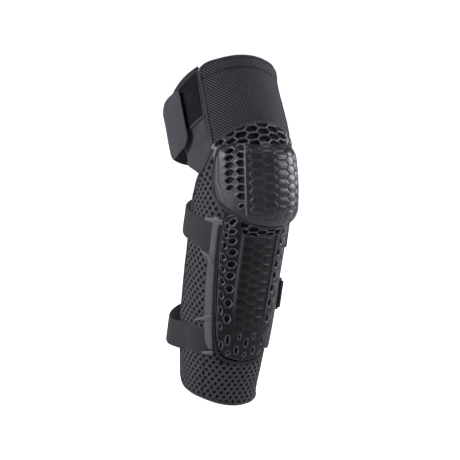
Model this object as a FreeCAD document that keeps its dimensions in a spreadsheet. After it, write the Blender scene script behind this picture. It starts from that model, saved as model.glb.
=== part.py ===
import FreeCAD, Part
import math
import os
import Sketcher

# Long knee-shin guard: shin section, knee cup section and thigh cuff section, with two calf
# straps, a thigh strap and three peel-open strap tabs.
# Frame: +Z up along the shin, -Y forward, +X to the right seen from the front.
# Origin on the axis of the padded shin cradle, at mid shin. The thigh leans back, towards +Y.
# Most pieces are sheets on a form surface, placed by a station (mm along the limb) and an
# angle (degrees from the front, positive towards +X), at an offset out from the surface.

V = FreeCAD.Vector
doc = FreeCAD.newDocument("knee_shin_guard")
sheet = doc.addObject("Spreadsheet::Sheet", "Dimensions")
DIMENSIONS = [
    ("axis_shift", -6.0, "forward shift of the form against the cradle axis"),
    ("rest_bend", 37.7, "bend between shin and thigh at rest, degrees"),
    ("bend_start", 74.0, "height where the knee bend starts"),
    ("bend_radius", 120.0, "radius of the bent centre line"),
    ("knee_height", 115.0, "height of the knee centre"),
    ("cradle_radius", 46.5, "inner radius of the padded shin cradle"),
    ("cradle_low", -138.0, "lower end of the cradle liner"),
    ("cradle_high", 62.0, "upper end of the cradle liner"),
    ("liner_thick", 1.2, "lining fabric"),
    ("layer_gap", 0.3, "air between neighbouring layers"),
    ("shell_wall", 3.0, "moulded shin shell wall"),
    ("ridge_rise", 2.2, "extra height of the two shell ridges"),
    ("ridge_angle", 19.0, "where the shell ridges run, degrees from the front"),
    ("shell_edge", 39.0, "half opening angle of the shin shell, degrees"),
    ("shell_low", -113.0, "lowest point of the shin shell"),
    ("shell_high", 87.0, "highest point of the shin shell"),
    ("cup_wall", 3.4, "moulded knee cup wall"),
    ("cup_front", 86.0, "knee cup front from the knee centre"),
    ("panel_thick", 3.0, "fabric over perforated foam"),
    ("foam_knee", 13.0, "knee foam thickness"),
    ("foam_thigh", 7.5, "thigh foam thickness"),
    ("trim_wide", 3.0, "stitched shell trim width"),
    ("binding_wide", 5.0, "edge binding width"),
    ("binding_thick", 4.2, "edge binding thickness"),
    ("rail_low", 2.5, "inner height of the side rails"),
    ("rail_thick", 2.8, "side rail thickness"),
    ("strap_wide", 38.0, "calf strap webbing width"),
    ("strap_thick", 1.8, "webbing thickness"),
    ("thigh_strap_wide", 60.0, "thigh strap width"),
    ("tab_thick", 2.2, "pull tab thickness"),
    ("hook_thick", 1.0, "hook patch thickness"),
    ("ring_long", 46.0, "strap ring outer height"),
    ("ring_deep", 6.8, "strap ring outer depth"),
    ("ring_thick", 4.0, "strap ring thickness"),
    ("ring_bar", 2.6, "strap ring end bar"),
    ("ring_side", 2.2, "strap ring side bar"),
    ("vent_pitch", 14.0, "pitch of the vent rows"),
    ("vent_long", 9.5, "large vent length"),
    ("vent_short", 6.4, "large vent height"),
]
for row, (alias, size, note) in enumerate(DIMENSIONS, 1):
    sheet.set("A%d" % row, alias)
    sheet.set("B%d" % row, str(size))
    sheet.setAlias("B%d" % row, alias)
    sheet.set("C%d" % row, note)
doc.recompute()


def dim(alias):
    return float(sheet.get(alias))


AXIS_SHIFT = dim("axis_shift")
BEND = math.radians(dim("rest_bend"))
BEND_START = dim("bend_start")
BEND_RADIUS = dim("bend_radius")
BEND_END = BEND_START + BEND_RADIUS * BEND
KNEE_Z = dim("knee_height")
GAP = dim("layer_gap")
LINER = dim("liner_thick")
STRAP_WIDE = dim("strap_wide")
STRAP = dim("strap_thick")
TAB = dim("tab_thick")
HOOK = dim("hook_thick")
SIDES = (("left", -1), ("right", 1))

# fabric panels lie just under the form surface
PANEL_OUT = -0.2
PANEL_IN = PANEL_OUT - dim("panel_thick")


# ------------------------------------------------------------------ form surfaces
def table(points):
    """smooth interpolation through (x, value...) rows, held constant past both ends"""
    xs = [p[0] for p in points]
    columns = list(zip(*[p[1:] for p in points]))
    last = len(xs) - 1

    def slope(col, i):
        if i == 0:
            return (col[1] - col[0]) / (xs[1] - xs[0])
        if i == last:
            return (col[-1] - col[-2]) / (xs[-1] - xs[-2])
        before = (col[i] - col[i - 1]) / (xs[i] - xs[i - 1])
        after = (col[i + 1] - col[i]) / (xs[i + 1] - xs[i])
        # the harmonic mean keeps the curve from overshooting its points
        return 0.0 if before * after <= 0 else 2 * before * after / (before + after)

    def at(col, x):
        if x <= xs[0]:
            return col[0]
        if x >= xs[-1]:
            return col[-1]
        k = max(i for i in range(last) if xs[i] <= x)
        step = xs[k + 1] - xs[k]
        u = (x - xs[k]) / step
        m0, m1 = slope(col, k) * step, slope(col, k + 1) * step
        return ((2 * u**3 - 3 * u**2 + 1) * col[k] + (u**3 - 2 * u**2 + u) * m0
                + (3 * u**2 - 2 * u**3) * col[k + 1] + (u**3 - u**2) * m1)

    def look_up(x):
        values = [at(col, x) for col in columns]
        return values[0] if len(values) == 1 else values

    return look_up


# station: half width, centre offset to the back, front depth, front exponent, back depth,
# offset towards +X
body_form = table([
    (-182, 50.8, 4, 55, 2.3, 59, 0),
    (-160, 51.4, 4, 55, 2.3, 62.5, 0),
    (-136, 53.6, 5, 57, 2.3, 67, 0),
    (-107, 56.5, 8, 61, 2.3, 72, 0),
    (-50, 60.5, 15, 69, 2.3, 80, 0),
    (10, 62, 20, 74, 2.3, 95, 0),
    (52, 62.5, 20, 75, 2.3, 95, 0),
    (90, 63, 18, 79, 2.25, 95, 0),
    (113, 64, 16, 82, 2.2, 90, 0.3),
    (135, 67.5, 15, 81.5, 2.15, 85, 1.4),
    (165, 73, 15, 80, 2.1, 80, 3.2),
    (195, 76, 17, 81, 2.05, 78, 4),
    (254, 78, 20, 78, 2.0, 80, 4),
    (290, 81.5, 22, 77, 2.0, 80, 5.6),
])
BACK_EXPONENT = 2.0


def centre_line(station):
    """y, z and lean (radians) of the limb's centre line"""
    if station <= BEND_START:
        return 0.0, station, 0.0
    lean = min(station - BEND_START, BEND_END - BEND_START) / BEND_RADIUS
    beyond = max(0.0, station - BEND_END)
    y = BEND_RADIUS * (1 - math.cos(lean)) + beyond * math.sin(lean)
    z = BEND_START + BEND_RADIUS * math.sin(lean) + beyond * math.cos(lean)
    return y, z, lean


def body(station, angle):
    """point on the limb form: superellipse sections along the centre line"""
    y0, z0, lean = centre_line(station)
    half_width, centre, front, exponent, back, sideways = body_form(station)
    sine, cosine = math.sin(math.radians(angle)), math.cos(math.radians(angle))
    n, depth = (exponent, front) if cosine >= 0 else (BACK_EXPONENT, back)
    radius = ((abs(sine) / half_width) ** n + (abs(cosine) / depth) ** n) ** (-1.0 / n)
    y = centre - radius * cosine
    return V(radius * sine + sideways, y0 + y * math.cos(lean) + AXIS_SHIFT,
             z0 - y * math.sin(lean))


# angle either side of the front: cup radius at mid height
cup_radius = table([(0, 86), (13.5, 84.8), (24, 81.8), (29.4, 79.9), (41, 75.4), (54, 71.0),
                    (69.5, 68.2), (82, 67.5)])
CUP_FADE_FROM = 26  # angle past which the curl of the upper and lower ends weakens


def cup(station, angle):
    """point on the knee cup form, leaning by half the bend; stations from the knee centre"""
    side = abs(angle)
    fade = 1.0 if side < CUP_FADE_FROM else max(0.3, 1.0 - (side - CUP_FADE_FROM) / 48.0)
    curl = max(0.0, station - 40.0) / 15.0 + max(0.0, -26.0 - station) / 25.0
    radius = (cup_radius(side) - cup_radius(0) + dim("cup_front")
              - fade * (5.0 * (station / 50.0) ** 2 + 10.0 * curl * curl))
    lean = BEND / 2
    y = -radius * math.cos(math.radians(angle))
    return V(radius * math.sin(math.radians(angle)),
             y * math.cos(lean) + station * math.sin(lean) + AXIS_SHIFT,
             KNEE_Z - y * math.sin(lean) + station * math.cos(lean))


def at_offset(surface, station, angle, offset):
    """point at an offset from a form surface, and the outward normal"""
    point = surface(station, angle)
    around = surface(station, angle + 0.5).sub(surface(station, angle - 0.5))
    along = surface(station + 0.5, angle).sub(surface(station - 0.5, angle))
    normal = around.cross(along)
    normal.normalize()
    return point.add(normal * offset), normal


# ------------------------------------------------------------------ sheet builders
def value(source, *args):
    return source(*args) if callable(source) else source


def solid_between(outer_grid, inner_grid):
    """closed solid between two matching grids of points"""
    outer, inner = Part.BSplineSurface(), Part.BSplineSurface()
    outer.interpolate(outer_grid)
    inner.interpolate(inner_grid)
    faces = [outer.toShape(), inner.toShape()]
    out_ends, in_ends = outer.bounds(), inner.bounds()
    rims = [(outer.uIso(out_ends[i]), inner.uIso(in_ends[i])) for i in (0, 1)]
    rims += [(outer.vIso(out_ends[i]), inner.vIso(in_ends[i])) for i in (2, 3)]
    for rim in rims:
        wires = [Part.Wire([curve.toShape()]) for curve in rim]
        faces.extend(Part.makeLoft(wires, False, True).Faces)
    # the tightest tolerance that closes the shell
    for tolerance in (0.01, 0.03, 0.1):
        sewn = Part.Compound(faces)
        sewn.sewShape(tolerance)
        if sewn.Shells and sewn.Shells[0].isClosed() and Part.Solid(sewn.Shells[0]).Solids:
            break
    solid = Part.Solid(sewn.Shells[0])
    if solid.Volume < 0:
        solid.reverse()
    if not solid.isValid():
        solid.fix(0.01, 0.01, 0.01)
    return solid


def panel(surface, low, high, left, right, inner, outer, columns, rows):
    """sheet on a form surface between two offsets.
    low, high: end stations, or functions of 0..1 from left to right
    left, right: edge angles, or functions of 0..1 from low to high
    inner, outer: offsets, or functions of station and angle"""
    outer_grid, inner_grid = [], []
    for j in range(rows):
        t = j / (rows - 1.0)
        outer_row, inner_row = [], []
        for i in range(columns):
            s = i / (columns - 1.0)
            start, end = value(low, s), value(high, s)
            first, last = value(left, t), value(right, t)
            place = start + (end - start) * t, first + (last - first) * s
            outer_row.append(at_offset(surface, *place, value(outer, *place))[0])
            inner_row.append(at_offset(surface, *place, value(inner, *place))[0])
        outer_grid.append(outer_row)
        inner_grid.append(inner_row)
    return solid_between(outer_grid, inner_grid)


def side_panel(sign, low, high, near, far, inner, outer, columns, rows):
    """panel on one side of the body. low, high run from the near (front) edge to the far one"""
    if sign > 0:
        return panel(body, low, high, near, far, inner, outer, columns, rows)
    return panel(body, lambda s: value(low, 1 - s), lambda s: value(high, 1 - s),
                 lambda t: -value(far, t), lambda t: -value(near, t),
                 inner, outer, columns, rows)


def strip(surface, path, wide, inner, outer, count):
    """narrow strip along a smooth path of (station, angle) points on a form surface"""
    curve = Part.BSplineCurve()
    curve.interpolate([V(station, angle, 0) for station, angle in path])
    first, last = curve.FirstParameter, curve.LastParameter
    middle = []
    for i in range(count):
        c = curve.value(first + (last - first) * i / (count - 1.0))
        middle.append((c.x, c.y))
    outer_grid, inner_grid = [], []
    for i in range(count):
        point, normal = at_offset(surface, *middle[i], 0)
        before = at_offset(surface, *middle[max(0, i - 1)], 0)[0]
        after = at_offset(surface, *middle[min(count - 1, i + 1)], 0)[0]
        tangent = after.sub(before)
        tangent.normalize()
        across = tangent.cross(normal)
        across.normalize()
        row = [point.add(across * (wide * (k / 3.0 - 0.5))) for k in range(4)]
        outer_grid.append([p.add(normal * outer) for p in row])
        inner_grid.append([p.add(normal * inner) for p in row])
    return solid_between(outer_grid, inner_grid)


def mirrored(half):
    """full (station, angle) path from its left half, which ends at the front"""
    return half + [(station, -angle) for station, angle in reversed(half[:-1])]


def plan_curve(plan):
    curve = Part.BSplineCurve()
    curve.interpolate([V(x, y, 0) for x, y in plan])
    return curve


def band(plan, low, high, thick, frame, count, shift=0.0, start=0.0, end=1.0, rows=4):
    """strap along a plan path (x, y); low, high: edge heights over 0..1 along the path"""
    # some point counts give an unsound solid, so others are tried in turn
    for more, more_rows in ((0, 0), (5, 0), (-7, 0), (0, 2), (16, 1), (-14, 1)):
        solid = band_solid(plan, low, high, thick, frame, count + more,
                           shift, start, end, rows + more_rows)
        if solid.Solids and solid.isValid():
            break
    return solid


def band_solid(plan, low, high, thick, frame, count, shift, start, end, rows):
    curve = plan_curve(plan)
    length = curve.length()
    outer_grid, inner_grid = [], []
    for i in range(count):
        f = start + (end - start) * i / (count - 1.0)
        distance = max(0.0, min(length, length * f))
        u = curve.parameterAtDistance(distance, curve.FirstParameter)
        point = curve.value(u)
        tangent = curve.tangent(u)[0]
        normal = V(-tangent.y, tangent.x, 0)
        bottom, top = value(low, f), value(high, f)
        heights = [bottom + (top - bottom) * k / (rows - 1.0) for k in range(rows)]
        for grid, offset in ((outer_grid, shift + thick / 2), (inner_grid, shift - thick / 2)):
            p = point.add(normal * offset)
            grid.append([frame(p.x, p.y, z) for z in heights])
    return solid_between(outer_grid, inner_grid)


def shin_frame(x, y, z):
    return V(x, y + AXIS_SHIFT, z)


def thigh_frame(x, y, z):
    return V(x, y * math.cos(BEND) + z * math.sin(BEND) + AXIS_SHIFT,
             KNEE_Z - y * math.sin(BEND) + z * math.cos(BEND))


def hexagon(surface, station, angle, long, short):
    """hexagonal cutter through the surface, its long axis around the limb"""
    depth = 14.0
    pointed = 0.28  # share of the length taken by each point
    centre, normal = at_offset(surface, station, angle, 0)
    around = surface(station, angle + 0.5).sub(surface(station, angle - 0.5))
    around.normalize()
    across = around.cross(normal)
    a, b = long / 2, short / 2
    c = a * (1 - 2 * pointed)
    corners = [(-a, 0), (-c, b), (c, b), (a, 0), (c, -b), (-c, -b)]
    wire = [centre.add(around * x).add(across * y).sub(normal * (depth / 2))
            for x, y in corners]
    return Part.Face(Part.makePolygon(wire + [wire[0]])).extrude(normal * depth)


def lattice_cutters(columns, column_pitch, first_row, row_pitch, widest, long, short, sag=0.0):
    """three staggered rows of hexagons; sag lowers them per degree from the front"""
    cutters = []
    for r in range(3):
        for c in range(-columns, columns + 1):
            angle = c * column_pitch + (column_pitch / 2 if r % 2 else 0)
            if abs(angle) < widest:
                station = first_row + r * row_pitch - abs(angle) * sag
                cutters.append(hexagon(body, station, angle, long, short))
    return cutters


def cut_main(shape, cutters):
    """largest solid left after the cut"""
    return max(shape.cut(cutters).Solids, key=lambda solid: solid.Volume)


# ------------------------------------------------------------------ document objects
NODES = []


def add(kind, label):
    part = doc.addObject(kind, label)
    part.Label = label
    return part


def add_part(label, shape):
    part = add("Part::Feature", label)
    part.Shape = shape
    NODES.append(part)


def add_pair(suffix, **spec):
    for side, sign in SIDES:
        add_part("%s_%s" % (side, suffix), side_panel(sign, **spec))


def add_cylinder(label, radius, place, turn=0):
    """cylinder along Z, its radius bound to an expression"""
    cylinder = add("Part::Cylinder", label)
    cylinder.setExpression("Radius", radius)
    cylinder.Placement = FreeCAD.Placement(place, FreeCAD.Rotation(V(0, 0, 1), turn))
    return cylinder


def add_cut(label, base, tool):
    cut = add("Part::Cut", label)
    cut.Base = base
    cut.Tool = tool
    NODES.append(cut)


# ------------------------------------------------------------------ shin shell
EDGE = dim("shell_edge")
LOW = dim("shell_low")
HIGH = dim("shell_high")

# station: angle of the shell's side edge
shell_side = table([
    (-113, EDGE - 4), (-91, EDGE - 3), (-63, EDGE - 2), (-34, EDGE - 1.2),
    (2, EDGE - 0.4), (32, EDGE + 1.2), (60, EDGE + 1.5), (95, EDGE + 1.5)])
# 0..1 left to right: station of the lower and the upper end
shell_low = table([
    (0, LOW + 16), (0.08, LOW + 9), (0.2, LOW + 4), (0.5, LOW),
    (0.8, LOW + 4), (0.92, LOW + 9), (1, LOW + 16)])
shell_high = table([
    (0, HIGH - 5), (0.08, HIGH - 1), (0.15, HIGH), (0.25, HIGH - 8), (0.32, HIGH - 19),
    (0.5, HIGH - 22), (0.68, HIGH - 19), (0.75, HIGH - 8), (0.85, HIGH), (0.92, HIGH - 1),
    (1, HIGH - 5)])
# 0..1 low to high: narrowing of the lower corners
shell_corner = table([(0, 0.9), (0.06, 0.97), (0.14, 1), (1, 1)])


def shell_outer(station, angle):
    """outer offset, with two ridges that fade out downwards"""
    rise = dim("ridge_rise") * math.exp(-((abs(angle) - dim("ridge_angle")) / 2.6) ** 2)
    fade = min(1.0, max(0.15, (station + 60) / 60.0))
    return GAP + dim("shell_wall") + rise * fade


def shell_half(t):
    return shell_side(LOW + (HIGH - LOW) * t) * shell_corner(t)


def shell_vents():
    """a column of large vents and a staggered column of small ones on each side"""
    pitch = dim("vent_pitch")
    first, last = LOW + 22, HIGH - 26
    large_angle, small_angle = 26.0, 33.8
    full_edge = 40.5  # edge angle that the vent angles are given for
    cutters = []
    for k in range(int((last - first) / pitch) + 1):
        station = first + k * pitch
        spread = shell_side(station) / full_edge
        for _, sign in SIDES:
            cutters.append(hexagon(body, station, sign * large_angle * spread,
                                   dim("vent_long"), dim("vent_short")))
            cutters.append(hexagon(body, station + pitch / 2, sign * small_angle * spread,
                                   long=5.2, short=4.6))
    return cutters


shell = panel(body, shell_low, shell_high, lambda t: -shell_half(t), shell_half,
              inner=GAP, outer=shell_outer, columns=33, rows=20)
add_part("shin_shell", cut_main(shell, shell_vents()))

shell_trim = [(station, -shell_side(station) - 2.4)
              for station in (HIGH - 6, HIGH - 45, HIGH - 97, LOW + 60, LOW + 26)]
shell_trim += [(LOW + 10, -EDGE + 4.2), (LOW + 1.5, -EDGE + 9.5), (LOW - 2.5, -EDGE / 2),
               (LOW - 4, 0)]
add_part("shell_edge_trim", strip(body, mirrored(shell_trim), dim("trim_wide"),
                                  inner=GAP, outer=GAP + 1.5, count=90))

# lower flex lattice: thin web with rows of openings between shell and cup
lattice_low = table([(0, HIGH - 6.5), (0.2, HIGH - 17), (0.5, HIGH - 20.5), (0.8, HIGH - 17),
                     (1, HIGH - 6.5)])
web = panel(body, lattice_low, HIGH + 3.0, left=-17.0, right=17.0,
            inner=GAP, outer=GAP + 2.2, columns=16, rows=8)
add_part("lower_flex_lattice", cut_main(web, lattice_cutters(
    columns=1, column_pitch=9.6, first_row=HIGH - 14.5, row_pitch=7.0, widest=14,
    long=10.5, short=4.6)))

# ------------------------------------------------------------------ side rails and brackets
RAIL_IN = dim("rail_low")
RAIL_OUT = RAIL_IN + dim("rail_thick")
RAIL_START = LOW + 14
RAIL_END = HIGH - 6
# station: angle of the rail's rear edge
rail_rear = table([(-99, 46.5), (-85, 50), (-40, 51.4), (81, 52)])


def rail_station(t):
    return RAIL_START + (RAIL_END - RAIL_START) * t


add_pair("side_rail", low=RAIL_START, high=RAIL_END,
         near=lambda t: shell_side(rail_station(t)) + 4.4,
         far=lambda t: rail_rear(rail_station(t)),
         inner=RAIL_IN, outer=RAIL_OUT, columns=6, rows=22)

# brackets behind the left rail: two finger bars with a joining bar over the strap
BRACKET_BAR = 6
for name, station in (("upper", 55.0), ("lower", -93.0)):
    rail_angle = rail_rear(station + 20)
    rear, front = -(rail_angle + 9.6), -(rail_angle + 1.6)
    half_slot = STRAP_WIDE / 2 + 2.0
    half_bracket = half_slot + BRACKET_BAR
    bracket = panel(body, station - half_bracket, station + half_bracket, rear, front,
                    inner=GAP, outer=RAIL_OUT, columns=8, rows=14)
    slot = panel(body, station - half_slot, station + half_slot, rear - 3, front + 3,
                 inner=GAP - 2, outer=RAIL_IN + 0.3, columns=8, rows=14)
    add_part("%s_left_strap_bracket" % name, cut_main(bracket, [slot]))

# ------------------------------------------------------------------ shin padding
foam_block = add("Part::Feature", "shin_foam_block")
foam_block.Shape = panel(body, LOW - 2, table([(0, 56), (0.5, 70), (1, 56)]),
                         left=-58.0, right=58.0, inner=-30.0, outer=-0.6,
                         columns=16, rows=16)
bore = add_cylinder(
    "cradle_bore",
    "Dimensions.cradle_radius + Dimensions.liner_thick + Dimensions.layer_gap", V(0, 0, -200))
bore.Height = 400
add_cut("shin_foam_pad", foam_block, bore)

# liner: part of a tube, centred on the front
LINER_ARC = 150
liner_outer = add_cylinder("liner_outer", "Dimensions.cradle_radius + Dimensions.liner_thick",
                           V(0, 0, dim("cradle_low")), turn=-90 - LINER_ARC / 2)
liner_outer.setExpression("Height", "Dimensions.cradle_high - Dimensions.cradle_low")
liner_outer.Angle = LINER_ARC
liner_inner = add_cylinder("liner_inner", "Dimensions.cradle_radius", V(0, 0, -250))
liner_inner.Height = 500
add_cut("shin_liner", liner_outer, liner_inner)

# ------------------------------------------------------------------ chassis and binding
# station: angle of the chassis' rear edge
back_edge = table([(-182, 130), (-153, 128), (-132, 123), (-68, 110.5), (-53, 107), (10, 101),
                   (90, 102.7), (140, 100)])
# angle: station of the chassis' lower edge
low_edge = table([(0, -178), (47, -173), (97, -168), (115, -161), (128, -153)])

add_pair("side_panel",
         low=lambda s: low_edge(59.5 + (124 - 59.5) * s) + 3.2 + 5.0 * s ** 6,
         high=lambda s: 58 - 12 * s,
         near=59.0, far=lambda t: back_edge(-150 + (46 + 150) * t) - 3.4,
         inner=PANEL_IN, outer=PANEL_OUT, columns=12, rows=22)

ANKLE_HALF = 58.4
add_part("ankle_panel", panel(
    body, lambda s: low_edge(abs(s - 0.5) * 2 * ANKLE_HALF) + 3, LOW - 6.5,
    -ANKLE_HALF, ANKLE_HALF, inner=PANEL_IN, outer=PANEL_OUT, columns=18, rows=8))


def add_binding(label, half, width_share, count):
    """binding along an edge; it stands proud of the panel on both faces"""
    inner = PANEL_IN - 0.5
    add_part(label, strip(body, mirrored(half), dim("binding_wide") * width_share,
                          inner, inner + dim("binding_thick"), count))


add_binding("chassis_edge_binding", [
    (44, -back_edge(46) + 0.2), (10, -back_edge(10) + 0.2), (-53, -back_edge(-53) + 0.2),
    (-100, -back_edge(-100)), (-132, -back_edge(-132)), (-148, -127.0), (-155, -124.5),
    (-161.5, -115), (-168, -97), (-171, -72), (-173, -47), (-176.4, -22), (-178, 0),
], width_share=0.86, count=150)

# ------------------------------------------------------------------ knee cup
CUP_WALL = dim("cup_wall")
# 0..1 left to right: station of the lower and the upper end
cup_low = table([
    (0, -12), (0.02, -16), (0.11, -28), (0.18, -35), (0.28, -47), (0.38, -53), (0.5, -55),
    (0.62, -53), (0.72, -47), (0.82, -35), (0.89, -28), (0.98, -16), (1, -12)])
cup_high = table([(0, 47), (0.05, 51), (0.2, 54), (0.5, 56), (0.8, 54), (0.95, 51), (1, 47)])
# 0..1 low to high: angle of the side edge
cup_side = table([(0, 65.5), (0.35, 69), (0.7, 67), (1, 62)])


def cup_outer(station, angle):
    """outer offset, with a ridge on each side"""
    return 1.6 * math.exp(-((abs(angle) - 29.4) / 2.2) ** 2)


def cup_vents():
    """small vents, and longer ones between their rows further back"""
    pitch = 10.6
    cutters = []
    for k in range(8):
        station = -30 + k * pitch
        for _, sign in SIDES:
            cutters.append(hexagon(cup, station, sign * 37.5, long=6.0, short=5.4))
            if k > 0:
                cutters.append(hexagon(cup, station + pitch / 2, sign * 47.5,
                                       long=11.0, short=5.6))
    return cutters


cup_shape = panel(cup, cup_low, cup_high, lambda t: -cup_side(t), cup_side,
                  inner=-CUP_WALL, outer=cup_outer, columns=35, rows=18)
add_part("knee_cup", cut_main(cup_shape, cup_vents()))

cup_trim = [(47.5, -64.8), (42, -66.4), (26, -70.0), (6, -71.0), (-8, -69.5), (-18, -64.5),
            (-30, -54), (-37.5, -43.5), (-48, -31), (-55.5, -16), (-57.5, 0)]
add_part("cup_edge_trim", strip(cup, mirrored(cup_trim), wide=2.6, inner=-CUP_WALL - 0.6,
                                outer=-CUP_WALL + 1.6, count=120))

FOAM_KNEE = dim("foam_knee")
add_part("knee_foam_pad", panel(
    cup, table([(0, -22), (0.25, -38), (0.5, -46), (0.75, -38), (1, -22)]),
    table([(0, 40), (0.5, 50), (1, 40)]), left=-57.0, right=57.0,
    inner=-CUP_WALL - 0.5 - FOAM_KNEE, outer=-CUP_WALL - 0.5, columns=16, rows=12))
KNEE_LINER_OUT = -CUP_WALL - 1.3 - FOAM_KNEE
add_part("knee_liner", panel(
    cup, table([(0, -20), (0.25, -36), (0.5, -44), (0.75, -36), (1, -20)]),
    table([(0, 38), (0.5, 48), (1, 38)]), left=-56.0, right=56.0,
    inner=KNEE_LINER_OUT - LINER, outer=KNEE_LINER_OUT, columns=16, rows=12))

# upper flex lattice: open hexagon web between cup and thigh arch
web = panel(body, table([(0, 148), (0.5, 153), (1, 148)]),
            table([(0, 166), (0.25, 173), (0.5, 177.5), (0.75, 173), (1, 166)]),
            left=-36.0, right=36.0, inner=GAP + 0.5, outer=GAP + 2.9, columns=18, rows=10)
add_part("upper_flex_lattice", cut_main(web, lattice_cutters(
    columns=2, column_pitch=14.0, first_row=155.5, row_pitch=8.0, widest=31,
    long=15.5, short=6.0, sag=0.14)))

add_pair("knee_gusset", low=lambda s: 62 - 14 * s,
         high=table([(0, 156), (0.2, 145), (0.36, 139), (0.54, 132.6), (0.7, 124.5),
                     (0.85, 117), (1, 109)]),
         near=55.0, far=lambda t: back_edge(46 + 90 * t) - 0.5,
         inner=PANEL_IN, outer=PANEL_OUT, columns=12, rows=14)

# ------------------------------------------------------------------ thigh cuff
CUFF_HALF = 50.0  # half opening angle of the front panel at its lower end
CUFF_INSET = 2.9  # front panel edges inside the binding lines
# 0..1 left to right: station of the cuff's lower arch and of its top
arch = table([(0, 163), (0.12, 169), (0.22, 174.3), (0.35, 179.4), (0.5, 181.5),
              (0.65, 179.4), (0.78, 174.3), (0.88, 169), (1, 163)])
cuff_top = table([(0, 279), (0.5, 288), (1, 279)])

add_part("thigh_front_panel", panel(
    body, lambda s: arch(s) + CUFF_INSET,
    lambda s: cuff_top(s) - CUFF_INSET - 2.6 * abs(2 * s - 1) ** 8,
    lambda t: -CUFF_HALF + 2.9 * t, lambda t: CUFF_HALF - 2.9 * t,
    inner=PANEL_IN, outer=PANEL_OUT, columns=18, rows=14))
FOAM_THIGH = dim("foam_thigh")
add_part("thigh_foam_pad", panel(
    body, lambda s: arch(s) + 8, lambda s: cuff_top(s) - 6, left=-46.0, right=46.0,
    inner=PANEL_IN - 0.4 - FOAM_THIGH, outer=PANEL_IN - 0.4, columns=16, rows=12))
THIGH_LINER_OUT = PANEL_IN - 0.7 - FOAM_THIGH
add_part("thigh_liner", panel(
    body, lambda s: arch(s) + 9, lambda s: cuff_top(s) - 7, left=-45.0, right=45.0,
    inner=THIGH_LINER_OUT - LINER, outer=THIGH_LINER_OUT, columns=16, rows=12))

add_binding("thigh_top_binding", [
    (173, -52.4), (200, -51.7), (240, -50.4), (270, -49.5), (277.5, -47.8), (281, -43),
    (284.5, -28), (288, 0),
], width_share=0.8, count=110)
add_binding("thigh_arch_binding", [
    (arch((angle + CUFF_HALF) / (2 * CUFF_HALF)) - 0.1, angle)
    for angle in (-49.5, -44.0, -38.0, -31.0, -24.0, -16.0, -8.0, 0.0)
], width_share=0.8, count=50)

add_pair("thigh_panel", low=table([(0, 208), (1, 193)]), high=table([(0, 278), (1, 255)]),
         near=lambda t: 54.2 - 2.2 * t, far=97.0,
         inner=PANEL_IN, outer=PANEL_OUT, columns=10, rows=10)
add_pair("stretch_gusset",
         low=table([(0, 160), (0.22, 148.8), (0.38, 142.8), (0.55, 137.4), (0.78, 148),
                    (1, 160)]),
         high=table([(0, 207), (1, 192)]), near=55.0, far=99.0,
         inner=PANEL_IN + 0.4, outer=PANEL_OUT - 0.4, columns=10, rows=10)
add_part("loop_patch", side_panel(
    -1, low=table([(0, 212), (1, 197)]), high=table([(0, 273), (1, 252)]),
    near=57.5, far=94.0, inner=GAP, outer=GAP + 1.6, columns=10, rows=10))
add_part("thigh_strap_anchor", side_panel(
    1, low=table([(0, 200), (1, 197)]), high=table([(0, 250), (1, 252)]),
    near=66.0, far=80.0, inner=GAP, outer=GAP + 1.6, columns=10, rows=10))

# thigh strap from the right round the back, with its tab on the left; x, y in the thigh frame
THIGH_STRAP_Z = 108
THIGH_STRAP_HALF = dim("thigh_strap_wide") / 2
thigh_plan = [(84.6, 10), (85.5, 28), (81, 54), (65, 79), (40, 95.5), (2, 103), (-36, 95.5),
              (-58, 80), (-70.5, 62)]
thigh_tab_plan = [(-71.7, 60.0), (-76.8, 45), (-79.6, 28), (-79.3, 12), (-77.6, -4)]
add_part("thigh_strap", band(thigh_plan, THIGH_STRAP_Z - THIGH_STRAP_HALF,
                             THIGH_STRAP_Z + THIGH_STRAP_HALF, STRAP, thigh_frame, count=40))
add_part("thigh_strap_tab", band(
    thigh_tab_plan, table([(0, 76), (0.35, 62), (0.8, 64), (1, 74)]),
    table([(0, 138), (0.4, 146), (1, 147)]), TAB, thigh_frame, count=20, rows=6))
add_part("thigh_hook_patch", band(
    thigh_tab_plan, low=80, high=138, thick=HOOK, frame=thigh_frame, count=12,
    shift=TAB / 2 + HOOK / 2 + 0.15, start=0.45, end=0.93))

# ------------------------------------------------------------------ calf straps
RING_DEEP = dim("ring_deep")
RING_LONG = dim("ring_long")
RING_ROUND = 2.5
# distance between the strap and its tab where the strap end folds round the ring
FOLD = TAB / 2 + dim("ring_side") + STRAP / 2 + 0.6
FOLD_RADIUS = ("(Dimensions.tab_thick / 2 + Dimensions.ring_side"
               " + Dimensions.strap_thick / 2 + 0.6) / 2 %s Dimensions.strap_thick / 2")


def beside_body(plan_z):
    """frame whose left front part leans with the body's side; the plan holds at plan_z"""
    def frame(x, y, z):
        blend = min(1.0, max(0.0, (42.0 - y) / 30.0)) if x < 0 else 0.0
        blend = blend * blend * (3 - 2 * blend)
        if blend > 0:
            centre = body_form(plan_z)[1]
            angle = math.degrees(math.atan2(x, -(y - centre)))
            lean = body(z, angle).sub(body(plan_z, angle))
            x, y = x + blend * lean.x, y + blend * lean.y
        return shin_frame(x, y, z)
    return frame


def hugging(station, angles, offset):
    """plan points on the body's side at one station"""
    points = [at_offset(body, station, angle, offset)[0] for angle in angles]
    return [(p.x, p.y - AXIS_SHIFT) for p in points]


def alongside(plan, places):
    """points at (distance back from the end, offset) beside a plan path"""
    curve = plan_curve(plan)
    length = curve.length()
    points = []
    for distance, offset in places:
        u = curve.parameterAtDistance(length - distance, curve.FirstParameter)
        p, tangent = curve.value(u), curve.tangent(u)[0]
        points.append((p.x - tangent.y * offset, p.y + tangent.x * offset))
    return points


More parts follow.
